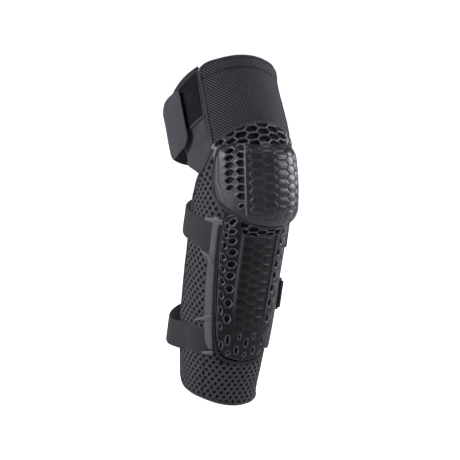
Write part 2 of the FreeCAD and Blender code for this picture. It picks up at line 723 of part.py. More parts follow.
def add_rectangle(sketch, wide, high, wide_rule, high_rule):
    """rectangle centred on the sketch origin, its sizes bound to the spreadsheet"""
    base = sketch.GeometryCount
    x, y = wide / 2, high / 2
    corners = [V(-x, -y, 0), V(x, -y, 0), V(x, y, 0), V(-x, y, 0)]
    for i in range(4):
        sketch.addGeometry(Part.LineSegment(corners[i], corners[(i + 1) % 4]), False)
    for i in range(4):
        sketch.addConstraint(
            Sketcher.Constraint("Coincident", base + i, 2, base + (i + 1) % 4, 1))
    for direction, lines in (("Horizontal", (0, 2)), ("Vertical", (1, 3))):
        for i in lines:
            sketch.addConstraint(Sketcher.Constraint(direction, base + i))
    sketch.addConstraint(Sketcher.Constraint("Symmetric", base, 1, base + 2, 1, -1, 1))
    across = sketch.addConstraint(
        Sketcher.Constraint("DistanceX", base, 1, base, 2, wide))
    upright = sketch.addConstraint(
        Sketcher.Constraint("DistanceY", base + 1, 1, base + 1, 2, high))
    sketch.setExpression("Constraints[%d]" % across, wide_rule)
    sketch.setExpression("Constraints[%d]" % upright, high_rule)


def add_ring(prefix, x, y, z):
    """strap ring: frame with rounded corners and one slot, facing forward"""
    ring = add("PartDesign::Body", "%s_right_strap_ring" % prefix)
    sketch = ring.newObject("Sketcher::SketchObject", "%s_ring_outline" % prefix)
    plane = next(f for f in ring.Origin.OriginFeatures if f.Role == "XY_Plane")
    sketch.AttachmentSupport = [(plane, "")]
    sketch.MapMode = "FlatFace"
    add_rectangle(sketch, RING_DEEP, RING_LONG, "Dimensions.ring_deep", "Dimensions.ring_long")
    add_rectangle(sketch, RING_DEEP - 2 * dim("ring_side"), RING_LONG - 2 * dim("ring_bar"),
                  "Dimensions.ring_deep - 2 * Dimensions.ring_side",
                  "Dimensions.ring_long - 2 * Dimensions.ring_bar")
    pad = ring.newObject("PartDesign::Pad", "%s_ring_pad" % prefix)
    pad.Profile = sketch
    pad.setExpression("Length", "Dimensions.ring_thick")
    doc.recompute()
    # the four outer corner edges run along the pad direction
    corners = []
    for i, edge in enumerate(pad.Shape.Edges, 1):
        first, last = edge.Vertexes[0], edge.Vertexes[-1]
        if abs(first.Z - last.Z) > 1 and abs(abs(first.X) - RING_DEEP / 2) < 1e-6:
            corners.append("Edge%d" % i)
    fillet = ring.newObject("PartDesign::Fillet", "%s_ring_round" % prefix)
    fillet.Base = (pad, corners)
    fillet.Radius = RING_ROUND
    back = y - 4.2 + dim("ring_thick") / 2 + AXIS_SHIFT
    ring.Placement = FreeCAD.Placement(V(x, back, z), FreeCAD.Rotation(V(1, 0, 0), 90))
    NODES.append(ring)


def add_fold(prefix, x, y, z):
    """fold of the strap end round the ring: the front half of a short tube"""
    place = V(x + FOLD / 2, y - 6.6 + AXIS_SHIFT, z - STRAP_WIDE / 2)
    tubes = []
    for name, sign in (("outer", "+"), ("inner", "-")):
        tube = add_cylinder("%s_fold_%s" % (prefix, name), FOLD_RADIUS % sign, place, turn=180)
        tube.setExpression("Height", "Dimensions.strap_wide")
        tubes.append(tube)
    tubes[0].Angle = 180
    add_cut("%s_strap_fold" % prefix, *tubes)


def add_calf_strap(prefix, plan, height, ring_at, reach, tab_rise):
    """strap from the left bracket round the back to the ring on the right, and its tab.
    height: strap centre over 0..1 along the plan; reach, tab_rise: tab length and climb"""
    add_part("%s_calf_strap" % prefix, band(
        plan, lambda f: height(f) - STRAP_WIDE / 2, lambda f: height(f) + STRAP_WIDE / 2,
        STRAP, beside_body(height(0)), count=44))
    add_ring(prefix, *ring_at)
    add_fold(prefix, *ring_at)

    line = alongside(plan, [(0, FOLD), (8, FOLD - 0.1), (reach * 0.35, FOLD - 0.9),
                            (reach * 0.65, FOLD - 1.3), (reach, FOLD - 1.3)])

    def tab_edge(sign, inset):
        return lambda f: ring_at[2] + tab_rise * f + sign * (STRAP_WIDE / 2 - inset)

    add_part("%s_strap_tab" % prefix, band(
        line, tab_edge(-1, 0.5), tab_edge(1, 0.5), TAB, shin_frame, count=16))
    add_part("%s_strap_hook_patch" % prefix, band(
        line, tab_edge(-1, 3), tab_edge(1, 3), HOOK, shin_frame, count=12,
        shift=TAB / 2 + HOOK / 2 + 0.1, start=0.3, end=0.95))


add_calf_strap(
    "upper",
    plan=hugging(54.0, (-51, -57, -64, -72, -82, -93), 1.25) + [
        (-62.8, 42), (-48, 72), (-24, 88), (0, 93), (24, 88), (48, 72), (64, 40), (67, 14),
        (67, -6.2)],
    height=table([(0, 54), (0.15, 55), (0.35, 59), (0.5, 62), (0.7, 61), (0.88, 57),
                  (1, 54)]),
    ring_at=(67.0, 0.0, 54), reach=64.0, tab_rise=5)
add_calf_strap(
    "lower",
    plan=hugging(-93.0, (-44, -50, -57, -66, -76, -87), 1.3) + [
        (-61.5, 27), (-61.5, 48), (-50, 77), (-26, 96), (0, 101), (26, 96), (50, 77),
        (62.5, 46), (62.8, 14), (60.9, -8), (60.5, -22.2)],
    height=table([(0, -93), (0.08, -94), (0.2, -100), (0.31, -104), (0.45, -97), (0.65, -70),
                  (0.85, -38), (1, -28)]),
    ring_at=(60.5, -16.0, -28), reach=70.0, tab_rise=-9)

# ------------------------------------------------------------------ soundness and export
doc.recompute()
bad = [part.Name for part in doc.Objects if "Invalid" in part.State or "Error" in part.State]
for part in NODES:
    shape = part.Shape
    if shape.isNull() or not shape.isValid() or not shape.Solids or shape.Volume <= 0:
        bad.append(part.Label)
if bad:
    raise RuntimeError("not sound: %s" % bad)
os.makedirs("parts", exist_ok=True)
for part in NODES:
    part.Shape.exportStep("parts/%s.step" % part.Label)
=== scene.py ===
# Knee and shin guard: a vented shin shell and a knee cup over a knitted, foam-padded chassis,
# with a thigh cuff above the knee and straps behind the leg.
# The shin stands along Z and the front faces -Y. The left side is -X and the right side +X.
# The knee is bent, so the thigh leans back towards +Y. Lengths are millimetres in the form
# and mesh code, and metres in the scene. Angles around the leg are degrees from the front,
# negative on the left.
import math

import bpy
import numpy as np
from mathutils import Matrix, Vector


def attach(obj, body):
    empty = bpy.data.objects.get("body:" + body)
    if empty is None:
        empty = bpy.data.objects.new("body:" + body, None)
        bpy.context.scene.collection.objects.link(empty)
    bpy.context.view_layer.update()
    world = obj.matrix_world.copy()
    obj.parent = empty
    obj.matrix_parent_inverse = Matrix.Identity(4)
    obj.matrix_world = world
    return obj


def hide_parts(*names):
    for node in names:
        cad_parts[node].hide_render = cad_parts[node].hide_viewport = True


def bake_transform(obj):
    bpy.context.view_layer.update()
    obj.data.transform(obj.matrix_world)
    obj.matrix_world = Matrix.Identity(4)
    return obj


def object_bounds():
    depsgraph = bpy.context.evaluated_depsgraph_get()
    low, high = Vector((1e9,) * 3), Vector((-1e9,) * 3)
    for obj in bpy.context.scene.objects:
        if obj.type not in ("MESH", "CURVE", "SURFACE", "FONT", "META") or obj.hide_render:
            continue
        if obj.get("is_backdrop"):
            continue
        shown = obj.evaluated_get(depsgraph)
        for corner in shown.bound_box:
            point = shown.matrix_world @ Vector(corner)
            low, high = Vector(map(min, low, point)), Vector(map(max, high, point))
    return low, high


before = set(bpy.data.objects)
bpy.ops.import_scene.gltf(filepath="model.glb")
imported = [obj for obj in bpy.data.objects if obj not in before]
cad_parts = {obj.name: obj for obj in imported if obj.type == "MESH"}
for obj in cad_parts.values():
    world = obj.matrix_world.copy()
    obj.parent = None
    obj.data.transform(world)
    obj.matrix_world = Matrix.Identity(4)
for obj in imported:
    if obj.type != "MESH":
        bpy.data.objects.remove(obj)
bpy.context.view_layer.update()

# ---------------------------------------------------------------- driving dimensions
SHIFT_Y = -6.0                      # the whole form sits this far forward
KNEE_BEND = math.radians(37.7)
BEND_START = 74.0                   # height along the spine where the bend starts
BEND_RADIUS = 120.0
BEND_END = BEND_START + BEND_RADIUS * KNEE_BEND
KNEE_Z = 115.0                      # origin of the cup's and thigh's leaning frames
CUP_THICK = 3.4
CLOTH_BACK = -3.2                   # inner face of the outer cloth, from the body surface
SHELL_LOW, SHELL_HIGH = -113.0, 87.0
SHELL_RIDGE = 24.5                  # distance of the shell's ridges from the centre line
CUP_RIDGE = 43.1
SHIN_UNROLL, THIGH_UNROLL, CUP_UNROLL = 72.0, 76.0, 84.0   # mm of sheet per radian
KNIT_PERIOD = 12.0
SIDES = (("left", -1), ("right", 1))

# Pieces between two bodies, placed unbent: the two bodies they join, and the start and end of
# the blend (m)
WEB_BEND = ("shin", "knee", (0, -0.056, 0.069), (0, -0.056, 0.092))
UNDERLAY_BEND = ("shin", "knee", (0, -0.056, 0.062), (0, -0.056, 0.098))
ARCH_BEND = ("knee", "thigh", (0, -0.040, 0.183), (0, -0.012, 0.212))
GUSSET_LOW_BEND = ("shin", "knee", (0, 0.0, 0.062), (0, 0.0, 0.104))
GUSSET_HIGH_BEND = ("knee", "thigh", (0, 0.005, 0.112), (0, 0.022, 0.150))
STRETCH_BEND = ("knee", "thigh", (0, 0.012, 0.135), (0, 0.034, 0.175))


# ---------------------------------------------------------------- curves and fields
def hermite(knots, values, slopes, at):
    """Cubic through the values, with the given slope at each knot."""
    k = np.clip(np.searchsorted(knots, at, side="right") - 1, 0, len(knots) - 2)
    step = np.diff(knots)[k]
    u = ((at - knots[k]) / step)[..., None]
    step = step[..., None]
    return ((2 * u**3 - 3 * u**2 + 1) * values[k] + (u**3 - 2 * u**2 + u) * slopes[k] * step
            + (3 * u**2 - 2 * u**3) * values[k + 1] + (u**3 - u**2) * slopes[k + 1] * step)


def curve(points):
    """Function through rows of (position, value, ...) that never overshoots a row."""
    rows = np.array(points, float)
    knots, values = rows[:, 0], rows[:, 1:]
    chords = np.diff(values, axis=0) / np.diff(knots)[:, None]
    slopes = np.zeros_like(values)
    slopes[0], slopes[-1] = chords[0], chords[-1]
    before, after = chords[:-1], chords[1:]
    same = before * after > 0
    total = np.where(same, before + after, 1)
    slopes[1:-1] = np.where(same, 2 * before * after / total, 0)

    def at(position):
        position = np.clip(np.asarray(position, float), knots[0], knots[-1])
        result = hermite(knots, values, slopes, position)
        return result[..., 0] if values.shape[1] == 1 else result

    return at


def evaluate(value, *where):
    """Value of a function at the given places, or a constant spread over them."""
    if callable(value):
        return value(*where)
    return np.full_like(np.asarray(where[0], float), float(value))


def ramp(start, end, x):
    """0 at start, 1 at end, with a smooth step between."""
    t = np.clip((x - start) / (end - start), 0, 1)
    return t * t * (3 - 2 * t)


def bell(x, width):
    return np.exp(-(x / width) ** 2)


def rounding(distance, radius):
    """Drop of a rounded edge at a distance in from that edge."""
    inset = np.minimum(distance, radius)
    return radius - np.sqrt(np.maximum(0, radius * radius - (radius - inset) ** 2))


def run_length(points):
    return np.concatenate([[0], np.cumsum(np.linalg.norm(np.diff(points, axis=0), axis=1))])


def dense_curve(path, samples, weights=(1.0, 1.0)):
    points = np.array(path, float)
    knots = run_length(points * weights)
    slopes = np.gradient(points, knots, axis=0)
    return hermite(knots, points, slopes, np.linspace(0, knots[-1], samples))


def even_points(points, run, count):
    """Evenly spaced points along a dense curve, and their distance along it."""
    along = np.linspace(0, run[-1], count)
    return np.stack([np.interp(along, run, points[:, k]) for k in (0, 1)], 1), along


def unit(vectors):
    return vectors / np.linalg.norm(vectors, axis=-1, keepdims=True)


def plan_line(points, run, count):
    """Even points of a line in plan, the normals on its left hand and the run."""
    centre, along = even_points(points, run, count)
    tangent = unit(np.gradient(centre, along, axis=0))
    return centre, np.stack([-tangent[:, 1], tangent[:, 0]], 1), along


def mirrored(half):
    """Full path from its left half, whose last point lies on the centre line."""
    return half + [(height, -angle) for height, angle in reversed(half[:-1])]


def on_side(side, points):
    return [(height, side * angle) for height, angle in points]


def hexagon(dx, dy, half_wide, half_tall, half_flat):
    """Distance inside a hexagon with flat top and bottom, negative outside."""
    slant = math.hypot(half_tall, half_wide - half_flat)
    sides = half_tall * (half_wide - np.abs(dx)) - (half_wide - half_flat) * np.abs(dy)
    return np.minimum(half_tall - np.abs(dy), sides / slant)


def honeycomb(x, y, pitch_x, pitch_y, size, x0=0.0, y0=0.0):
    """Distance inside the nearest hexagon; every other column is half a pitch higher."""
    best = np.full(x.shape, -1e3)
    first = np.floor((x - x0) / pitch_x)
    for column in (first - 1, first, first + 1, first + 2):
        offset = np.mod(column, 2) * pitch_y / 2
        row = np.round((y - y0 - offset) / pitch_y)
        inside = hexagon(x - x0 - column * pitch_x, y - y0 - offset - row * pitch_y, *size)
        best = np.maximum(best, inside)
    return best


# ---------------------------------------------------------------- form surfaces
# Height, half width, centre y, front reach, front exponent, back reach, centre x
FORM = curve([
    (-182, 50.8, 4, 55, 2.3, 59, 0), (-160, 51.4, 4, 55, 2.3, 62.5, 0),
    (-136, 53.6, 5, 57, 2.3, 67, 0), (-107, 56.5, 8, 61, 2.3, 72, 0),
    (-50, 60.5, 15, 69, 2.3, 80, 0), (10, 62, 20, 74, 2.3, 95, 0),
    (52, 62.5, 20, 75, 2.3, 95, 0), (90, 63, 18, 79, 2.25, 95, 0),
    (113, 64, 16, 82, 2.2, 90, 0.3), (135, 67.5, 15, 81.5, 2.15, 85, 1.4),
    (165, 73, 15, 80, 2.1, 80, 3.2), (195, 76, 17, 81, 2.05, 78, 4),
    (254, 78, 20, 78, 2.0, 80, 4), (290, 81.5, 22, 77, 2.0, 80, 5.6)])
# Angle from the front, cup radius
CUP_RADIUS = curve([(0, 86), (13.5, 84.8), (24, 81.8), (29.4, 79.9), (41, 75.4), (54, 71.0),
                    (69.5, 68.2), (82, 67.5)])
LINING_RADIUS = 46.5


def spine(height):
    """Y, z and backward tilt of the bent centre line."""
    tilt = np.clip((height - BEND_START) / BEND_RADIUS, 0, KNEE_BEND)
    below = np.minimum(height - BEND_START, 0)
    beyond = np.maximum(height - BEND_END, 0)
    y = BEND_RADIUS * (1 - np.cos(tilt)) + beyond * math.sin(KNEE_BEND)
    z = BEND_START + BEND_RADIUS * np.sin(tilt) + beyond * math.cos(KNEE_BEND) + below
    return y, z, tilt


def body_surface(height, angle):
    height, angle = np.broadcast_arrays(np.asarray(height, float), np.asarray(angle, float))
    y, z, tilt = spine(height)
    half_wide, centre_y, front, front_power, back, centre_x = np.moveaxis(FORM(height), -1, 0)
    sine, cosine = np.sin(np.radians(angle)), np.cos(np.radians(angle))
    power = np.where(cosine >= 0, front_power, 2.0)
    reach = np.where(cosine >= 0, front, back)
    radius = ((np.abs(sine) / half_wide) ** power
              + (np.abs(cosine) / reach) ** power) ** (-1.0 / power)
    local_y = centre_y - radius * cosine
    return np.stack([radius * sine + centre_x, y + local_y * np.cos(tilt) + SHIFT_Y,
                     z - local_y * np.sin(tilt)], -1)


def cup_surface(height, angle):
    """Knee cup, leaning by half the bend; its top and bottom roll inward near the front."""
    height, angle = np.broadcast_arrays(np.asarray(height, float), np.asarray(angle, float))
    turn = np.abs(angle)
    front = np.where(turn < 26, 1.0, np.maximum(0.3, 1.0 - (turn - 26) / 48.0))
    roll = np.maximum(0.0, height - 40.0) / 15.0 + np.maximum(0.0, -26.0 - height) / 25.0
    radius = CUP_RADIUS(turn) - front * (5.0 * (height / 50.0) ** 2 + 10.0 * roll * roll)
    lean = KNEE_BEND / 2
    theta = np.radians(angle)
    local_y = -radius * np.cos(theta)
    return np.stack([radius * np.sin(theta),
                     local_y * math.cos(lean) + height * math.sin(lean) + SHIFT_Y,
                     KNEE_Z - local_y * math.sin(lean) + height * math.cos(lean)], -1)


def lining_cylinder(height, angle):
    height, angle = np.broadcast_arrays(np.asarray(height, float), np.asarray(angle, float))
    theta = np.radians(angle)
    return np.stack([LINING_RADIUS * np.sin(theta), -LINING_RADIUS * np.cos(theta), height], -1)


def normals(surface, height, angle):
    around = surface(height, angle + 0.4) - surface(height, angle - 0.4)
    upward = surface(height + 0.4, angle) - surface(height - 0.4, angle)
    return unit(np.cross(around, upward))


def shin_frame(x, y, z):
    return np.stack([x, y + SHIFT_Y, z + 0 * x], -1)


def thigh_frame(x, y, z):
    return np.stack([x, y * math.cos(KNEE_BEND) + z * math.sin(KNEE_BEND) + SHIFT_Y,
                     KNEE_Z - y * math.sin(KNEE_BEND) + z * math.cos(KNEE_BEND)], -1)


# ---------------------------------------------------------------- mesh building
def add_object(name, data):
    piece = bpy.data.objects.new(name, data)
    bpy.context.scene.collection.objects.link(piece)
    return piece


def place(piece, carrier, slot, *replaced):
    """Tie a piece to one body, or only bake its transform when given a bend, and hide the CAD
    parts it replaces; slot is not used.
    """
    if isinstance(carrier, str):
        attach(piece, carrier)
    else:
        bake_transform(piece)
    if replaced:
        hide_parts(*replaced)


def make_mesh(name, points, quads, uv, edge, material, sharp):
    """Quad mesh in metres with UV map "pat" (units of 100 mm) and the "edge" attribute."""
    used, inverse = np.unique(quads, return_inverse=True)
    quads = inverse.reshape(quads.shape).astype(np.int32)
    points, uv, edge = points[used], uv[used], edge[used]
    mesh = bpy.data.meshes.new(name)
    mesh.vertices.add(len(points))
    mesh.vertices.foreach_set("co", (points * 0.001).astype(np.float32).ravel())
    mesh.loops.add(quads.size)
    mesh.loops.foreach_set("vertex_index", quads.ravel())
    mesh.polygons.add(len(quads))
    mesh.polygons.foreach_set("loop_start", np.arange(0, quads.size, 4, dtype=np.int32))
    mesh.update(calc_edges=True)
    layer = mesh.uv_layers.new(name="pat")
    layer.data.foreach_set("uv", (uv[quads.ravel()] * 0.01).astype(np.float32).ravel())
    attribute = mesh.attributes.new("edge", "FLOAT", "POINT")
    attribute.data.foreach_set("value", edge.astype(np.float32))
    mesh.validate()
    mesh.polygons.foreach_set("use_smooth", np.ones(len(mesh.polygons), bool))
    mesh.set_sharp_from_angle(angle=math.radians(sharp))
    mesh.materials.append(material)
    return add_object(name, mesh)


def grid_solid(name, outer, inner, material, uv, edge, keep=None, sharp=60):
    """Closed solid between two point grids; only the cells marked keep are built."""
    rows, columns, _ = outer.shape
    count = rows * columns
    index = np.arange(count).reshape(rows, columns)
    if keep is None:
        keep = np.ones((rows - 1, columns - 1), bool)
    a, b, c, d = index[:-1, :-1], index[:-1, 1:], index[1:, 1:], index[1:, :-1]
    quads = [np.stack([a[keep], b[keep], c[keep], d[keep]], 1),
             np.stack([a[keep], d[keep], c[keep], b[keep]], 1) + count]
    padded = np.zeros((rows + 1, columns + 1), bool)
    padded[1:-1, 1:-1] = keep
    # walls wherever a kept cell has no kept neighbour
    borders = ((padded[:-2, 1:-1], a, b), (padded[1:-1, 2:], b, c),
               (padded[2:, 1:-1], c, d), (padded[1:-1, :-2], d, a))
    for neighbour, start, end in borders:
        wall = keep & ~neighbour
        quads.append(np.stack([end[wall], start[wall], start[wall] + count,
                               end[wall] + count], 1))
    points = np.concatenate([outer.reshape(-1, 3), inner.reshape(-1, 3)])
    uv = np.concatenate([uv.reshape(-1, 2)] * 2)
    edge = np.concatenate([edge.reshape(-1), np.zeros(count)])
    return make_mesh(name, points, np.concatenate(quads), uv, edge, material, sharp)


def sheet(name, surface, low, high, left, right, cell, top, bottom, material,
          openings=None, edge_radius=0.9, unroll=SHIN_UNROLL, painted_highlight=None):
    """Curved sheet with a height pattern, rounded outer edges and openings.

    low and high are heights over 0..1 across; left and right are angles over 0..1 up.
    top, bottom, openings and the highlight function take (x, y) in mm on the unrolled surface;
    openings gives the distance to the nearest opening, negative inside it; the highlight
    function raises the edge attribute where a painted highlight goes.
    """
    ends = np.linspace(0, 1, 9)
    tall = float(np.max(evaluate(high, ends) - evaluate(low, ends)))
    wide = float(np.max(np.radians(evaluate(right, ends) - evaluate(left, ends)) * unroll))
    columns, rows = max(4, int(wide / cell) + 1), max(4, int(tall / cell) + 1)
    across, up = np.meshgrid(np.linspace(0, 1, columns), np.linspace(0, 1, rows))
    base, crest = evaluate(low, across), evaluate(high, across)
    begin, finish = evaluate(left, up), evaluate(right, up)
    y = base + (crest - base) * up
    x = np.radians(begin + (finish - begin) * across) * unroll
    inset = np.minimum(np.minimum(across, 1 - across) * np.radians(finish - begin) * unroll,
                       np.minimum(up, 1 - up) * (crest - base))
    keep = None
    if openings is not None:
        gap = openings(x, y)
        spacing = np.maximum(np.abs(np.gradient(x, axis=1)), np.abs(np.gradient(y, axis=0)))
        near = np.abs(gap) < 0.56 * spacing
        near[0], near[-1], near[:, 0], near[:, -1] = False, False, False, False
        # pull nearby grid points onto the rims of the openings
        for _ in range(3):
            h = 0.15
            slope_x = (openings(x + h, y) - openings(x - h, y)) / (2 * h)
            slope_y = (openings(x, y + h) - openings(x, y - h)) / (2 * h)
            steepness = slope_x * slope_x + slope_y * slope_y + 1e-6
            step = np.clip(gap / steepness, -cell, cell)
            x, y = (np.where(near, x - step * slope_x, x),
                    np.where(near, y - step * slope_y, y))
            gap = openings(x, y)
        solid = gap > -0.12 * cell
        keep = solid[:-1, :-1] & solid[1:, :-1] & solid[:-1, 1:] & solid[1:, 1:]
        inset = np.minimum(inset, np.maximum(gap, 0))
    angle = np.degrees(x / unroll)
    points = surface(y, angle)
    normal = normals(surface, y, angle)
    outer = evaluate(top, x, y) - rounding(inset, edge_radius)
    inner = evaluate(bottom, x, y)
    # the edge attribute carries the painted highlight that plastic materials lay on edges, rims
    # and lips
    edge = 1 - ramp(0.0, 1.6, inset)
    if painted_highlight is not None:
        edge = np.maximum(edge, painted_highlight(x, y))
    return grid_solid(name, points + normal * outer[..., None],
                      points + normal * inner[..., None], material,
                      np.stack([x, y], -1), edge, keep, sharp=48)


def side_sheet(name, side, low, high, inner, outer, cell, top, bottom, material, **options):
    """Body sheet given for the right side (angles from inner to outer), flipped for the left."""
    if side < 0:
        return sheet(name, body_surface, lambda s: evaluate(low, 1 - s),
                     lambda s: evaluate(high, 1 - s), lambda t: -evaluate(outer, t),
                     lambda t: -evaluate(inner, t), cell, top, bottom, material, **options)
    return sheet(name, body_surface, low, high, inner, outer, cell, top, bottom, material,
                 **options)


def tape(name, surface, path, width, inner, outer, material):
    """Rounded strip along a (height, angle) path, from inner to outer off the surface."""
    pitch, ribs = 1.6, 9
    points = dense_curve(path, samples=900, weights=(1.0, 1.2))
    run = run_length(surface(points[:, 0], points[:, 1]))
    places, along = even_points(points, run, max(12, int(run[-1] / pitch)))
    centre = surface(places[:, 0], places[:, 1])
    normal = normals(surface, places[:, 0], places[:, 1])
    tangent = unit(np.gradient(centre, axis=0))
    sideways = unit(np.cross(tangent, normal))
    x = np.linspace(-1, 1, ribs)
    offset = x * width / 2
    bulge = (outer - inner) / 2 * np.sqrt(np.maximum(0, 1 - np.abs(x) ** 4))
    middle = (inner + outer) / 2
    wobble = 0.06 * np.sin(along / 2.3) + 0.05 * np.sin(along / 5.1)
    flat = centre[:, None] + sideways[:, None] * offset[None, :, None]
    upper = (middle + bulge)[None, :] + wobble[:, None]
    lower = (middle - bulge)[None, :, None]
    uv = np.stack(np.meshgrid(along, offset, indexing="ij"), -1)
    edge = np.repeat((1 - ramp(0, 0.5, 1 - np.abs(x)))[None], len(along), 0)
    return grid_solid(name, flat + normal[:, None] * upper[..., None],
                      flat + normal[:, None] * lower, material, uv, edge)


def band(name, path, low, high, thick, to_scene, material, pitch=2.0, shift=0.0,
         start=0.0, end=1.0, wave=0.0, edge_radius=0.9, relief=None):
    """Upright strap on a plan path of (x, y); low and high are heights over 0..1 along."""
    points = dense_curve(path, samples=1200)
    run = run_length(points)
    length = run[-1]
    columns = max(14, int(length * (end - start) / pitch))
    centre, normal, along = plan_line(points, run, max(60, int(length / 0.5)))
    part = np.linspace(start, end, columns)
    distance = part * length
    centre_x, centre_y, normal_x, normal_y = (
        np.interp(distance, along, values[:, k])[:, None]
        for values in (centre, normal) for k in (0, 1))
    base, crest = evaluate(low, part)[:, None], evaluate(high, part)[:, None]
    rows = max(8, int(np.max(crest - base) / pitch))
    up = np.linspace(0, 1, rows)[None]
    z = base + (crest - base) * up
    inset = np.minimum(np.minimum(up * (crest - base), (1 - up) * (crest - base)),
                       np.minimum(distance - distance[0], distance[-1] - distance)[:, None])
    drop = rounding(inset, edge_radius) * min(1.0, thick / 2 / edge_radius)
    ripple = wave * (np.sin(distance / 9.0)[:, None] * np.cos(up * 5.0)
                     + 0.6 * np.sin(distance / 5.3 + 1.0)[:, None] * np.cos(up * 8.0 + 1))
    outer = shift + ripple + thick / 2 - drop
    if relief is not None:
        outer = outer + relief(inset)
    inner = shift + ripple - thick / 2 + drop
    faces = [to_scene(centre_x + normal_x * offset, centre_y + normal_y * offset, z)
             for offset in (outer, inner)]
    uv = np.stack([np.repeat(distance[:, None], rows, 1), z], -1)
    return grid_solid(name, *faces, material, uv, 1 - ramp(0, 1.5, inset))


def puff(piece, limit):
    """Swell a closed shell with cloth pressure; no point moves further than limit (m)."""
    mesh = piece.data
    base = np.empty(len(mesh.vertices) * 3)
    swelled = np.empty_like(base)
    mesh.vertices.foreach_get("co", base)
    base = base.reshape(-1, 3)
    cloth = piece.modifiers.new("cloth", "CLOTH")
    cloth.settings.use_pressure = True
    cloth.settings.uniform_pressure_force = 4.0
    cloth.settings.effector_weights.gravity = 0.0
    cloth.settings.quality = 5
    cloth.settings.mass = 0.3
    cloth.settings.tension_stiffness = 30
    cloth.settings.compression_stiffness = 30
    frames = 20
    cloth.point_cache.frame_start, cloth.point_cache.frame_end = 1, frames
    scene = bpy.context.scene
    for number in range(1, frames + 1):
        scene.frame_set(number)
    evaluated = piece.evaluated_get(bpy.context.evaluated_depsgraph_get())
    evaluated.to_mesh().vertices.foreach_get("co", swelled)
    evaluated.to_mesh_clear()
    move = swelled.reshape(-1, 3) - base
    move[~np.isfinite(move).all(axis=1)] = 0.0
    far = np.linalg.norm(move, axis=1, keepdims=True)
    piece.modifiers.remove(cloth)
    scene.frame_set(1)
    base = base + move * np.minimum(1.0, limit / np.maximum(far, 1e-9))
    mesh.vertices.foreach_set("co", base.ravel())
    mesh.update()
    return piece


# ---------------------------------------------------------------- shader building
def connect(tree, socket, value):
    if isinstance(value, Value):
        tree.links.new(value.socket, socket)
    else:
        socket.default_value = value


class Value:
    """Shader output; arithmetic on it adds Math nodes."""

    def __init__(self, tree, socket):
        self.tree = tree
        self.socket = socket

    def math(self, operation, *others, clamp=False):
        node = self.tree.nodes.new("ShaderNodeMath")
        node.operation = operation
        node.use_clamp = clamp
        for socket, value in zip(node.inputs, (self, *others)):
            connect(self.tree, socket, value)
        return Value(self.tree, node.outputs[0])

    def __add__(self, other):
        return self.math("ADD", other)

    def __sub__(self, other):
        return self.math("SUBTRACT", other)

    def __mul__(self, other):
        return self.math("MULTIPLY", other)

    def times_plus(self, factor, addend):
        return self.math("MULTIPLY_ADD", factor, addend)

    def larger(self, other):
        return self.math("MAXIMUM", other)

    def smaller(self, other):
        return self.math("MINIMUM", other)

    def size(self):
        return self.math("ABSOLUTE")

    def wave(self, period):
        """0..1 cosine wave with a period in mm."""
        return self.times_plus(2 * math.pi / period, 0.0).math("COSINE").times_plus(0.5, 0.5)

    def from_middle(self, period, shift=0.0):
        """Distance in mm from the middle of the nearest repeat."""
        part = (self * (1.0 / period) + (100.0 + shift)).math("FRACT")
        return (part - 0.5).size() * period

    def span(self, low, high, to_low=0.0, to_high=1.0):
        """Smooth step from to_low at low to to_high at high."""
        node = self.tree.nodes.new("ShaderNodeMapRange")
        node.interpolation_type = "SMOOTHSTEP"
        node.clamp = True
        connect(self.tree, node.inputs["Value"], self)
        for name, value in (("From Min", low), ("From Max", high),
                            ("To Min", to_low), ("To Max", to_high)):
            node.inputs[name].default_value = value
        return Value(self.tree, node.outputs["Result"])


class Shader:
    """Material with one Principled surface; texture scales are per metre."""

    def __init__(self, name):
        self.material = bpy.data.materials.new(name)
        self.material.use_nodes = True
        self.tree = self.material.node_tree
        self.tree.nodes.clear()
        output = self.tree.nodes.new("ShaderNodeOutputMaterial")
        self.surface = self.tree.nodes.new("ShaderNodeBsdfPrincipled")
        self.tree.links.new(self.surface.outputs["BSDF"], output.inputs["Surface"])

    def node(self, kind, output, settings=None, **inputs):
        """Output of a new node; inputs are named with _ for a space."""
        node = self.tree.nodes.new(kind)
        for key, value in (settings or {}).items():
            setattr(node, key, value)
        for key, value in inputs.items():
            connect(self.tree, node.inputs[key.replace("_", " ")], value)
        return Value(self.tree, node.outputs[output])

    def uv(self):
        """Pattern coordinates in mm."""
        pattern = self.node("ShaderNodeUVMap", "UV", {"uv_map": "pat"})
        parts = self.tree.nodes.new("ShaderNodeSeparateXYZ")
        connect(self.tree, parts.inputs[0], pattern)
        u, v = (Value(self.tree, parts.outputs[k]) for k in (0, 1))
        return u * 100.0, v * 100.0

    def edge(self):
        return self.node("ShaderNodeAttribute", "Fac", {"attribute_name": "edge"})

    def position(self):
        return self.node("ShaderNodeTexCoord", "Object")

    def noise(self, scale, detail=3.0, roughness=0.55):
        return self.node("ShaderNodeTexNoise", "Fac", Vector=self.position(), Scale=scale,
                         Detail=detail, Roughness=roughness)

    def voronoi(self, scale):
        return self.node("ShaderNodeTexVoronoi", "Distance", {"feature": "F1"},
                         Vector=self.position(), Scale=scale)

    def mix(self, factor, first, second):
        node = self.tree.nodes.new("ShaderNodeMix")
        node.data_type = "RGBA"
        for index, value in ((0, factor), (6, first), (7, second)):
            connect(self.tree, node.inputs[index], value)
        return Value(self.tree, node.outputs[2])

    def bump(self, height, distance, strength):
        return self.node("ShaderNodeBump", "Normal", Strength=strength, Distance=distance,
                         Height=height)

    def finish(self, color, roughness, normal=None, specular=0.5, sheen=0.0):
        inputs = {"Base Color": color, "Roughness": roughness, "Specular IOR Level": specular}
        if sheen:
            inputs["Sheen Weight"] = sheen
            inputs["Sheen Roughness"] = 0.45
            inputs["Sheen Tint"] = (0.75, 0.75, 0.8, 1)
        if normal is not None:
            inputs["Normal"] = normal
        for name, value in inputs.items():
            connect(self.tree, self.surface.inputs[name], value)
        return self.material


def tint(level):
    """Slightly blue grey."""
    return (level, level * 0.985, level * 1.09, 1.0)


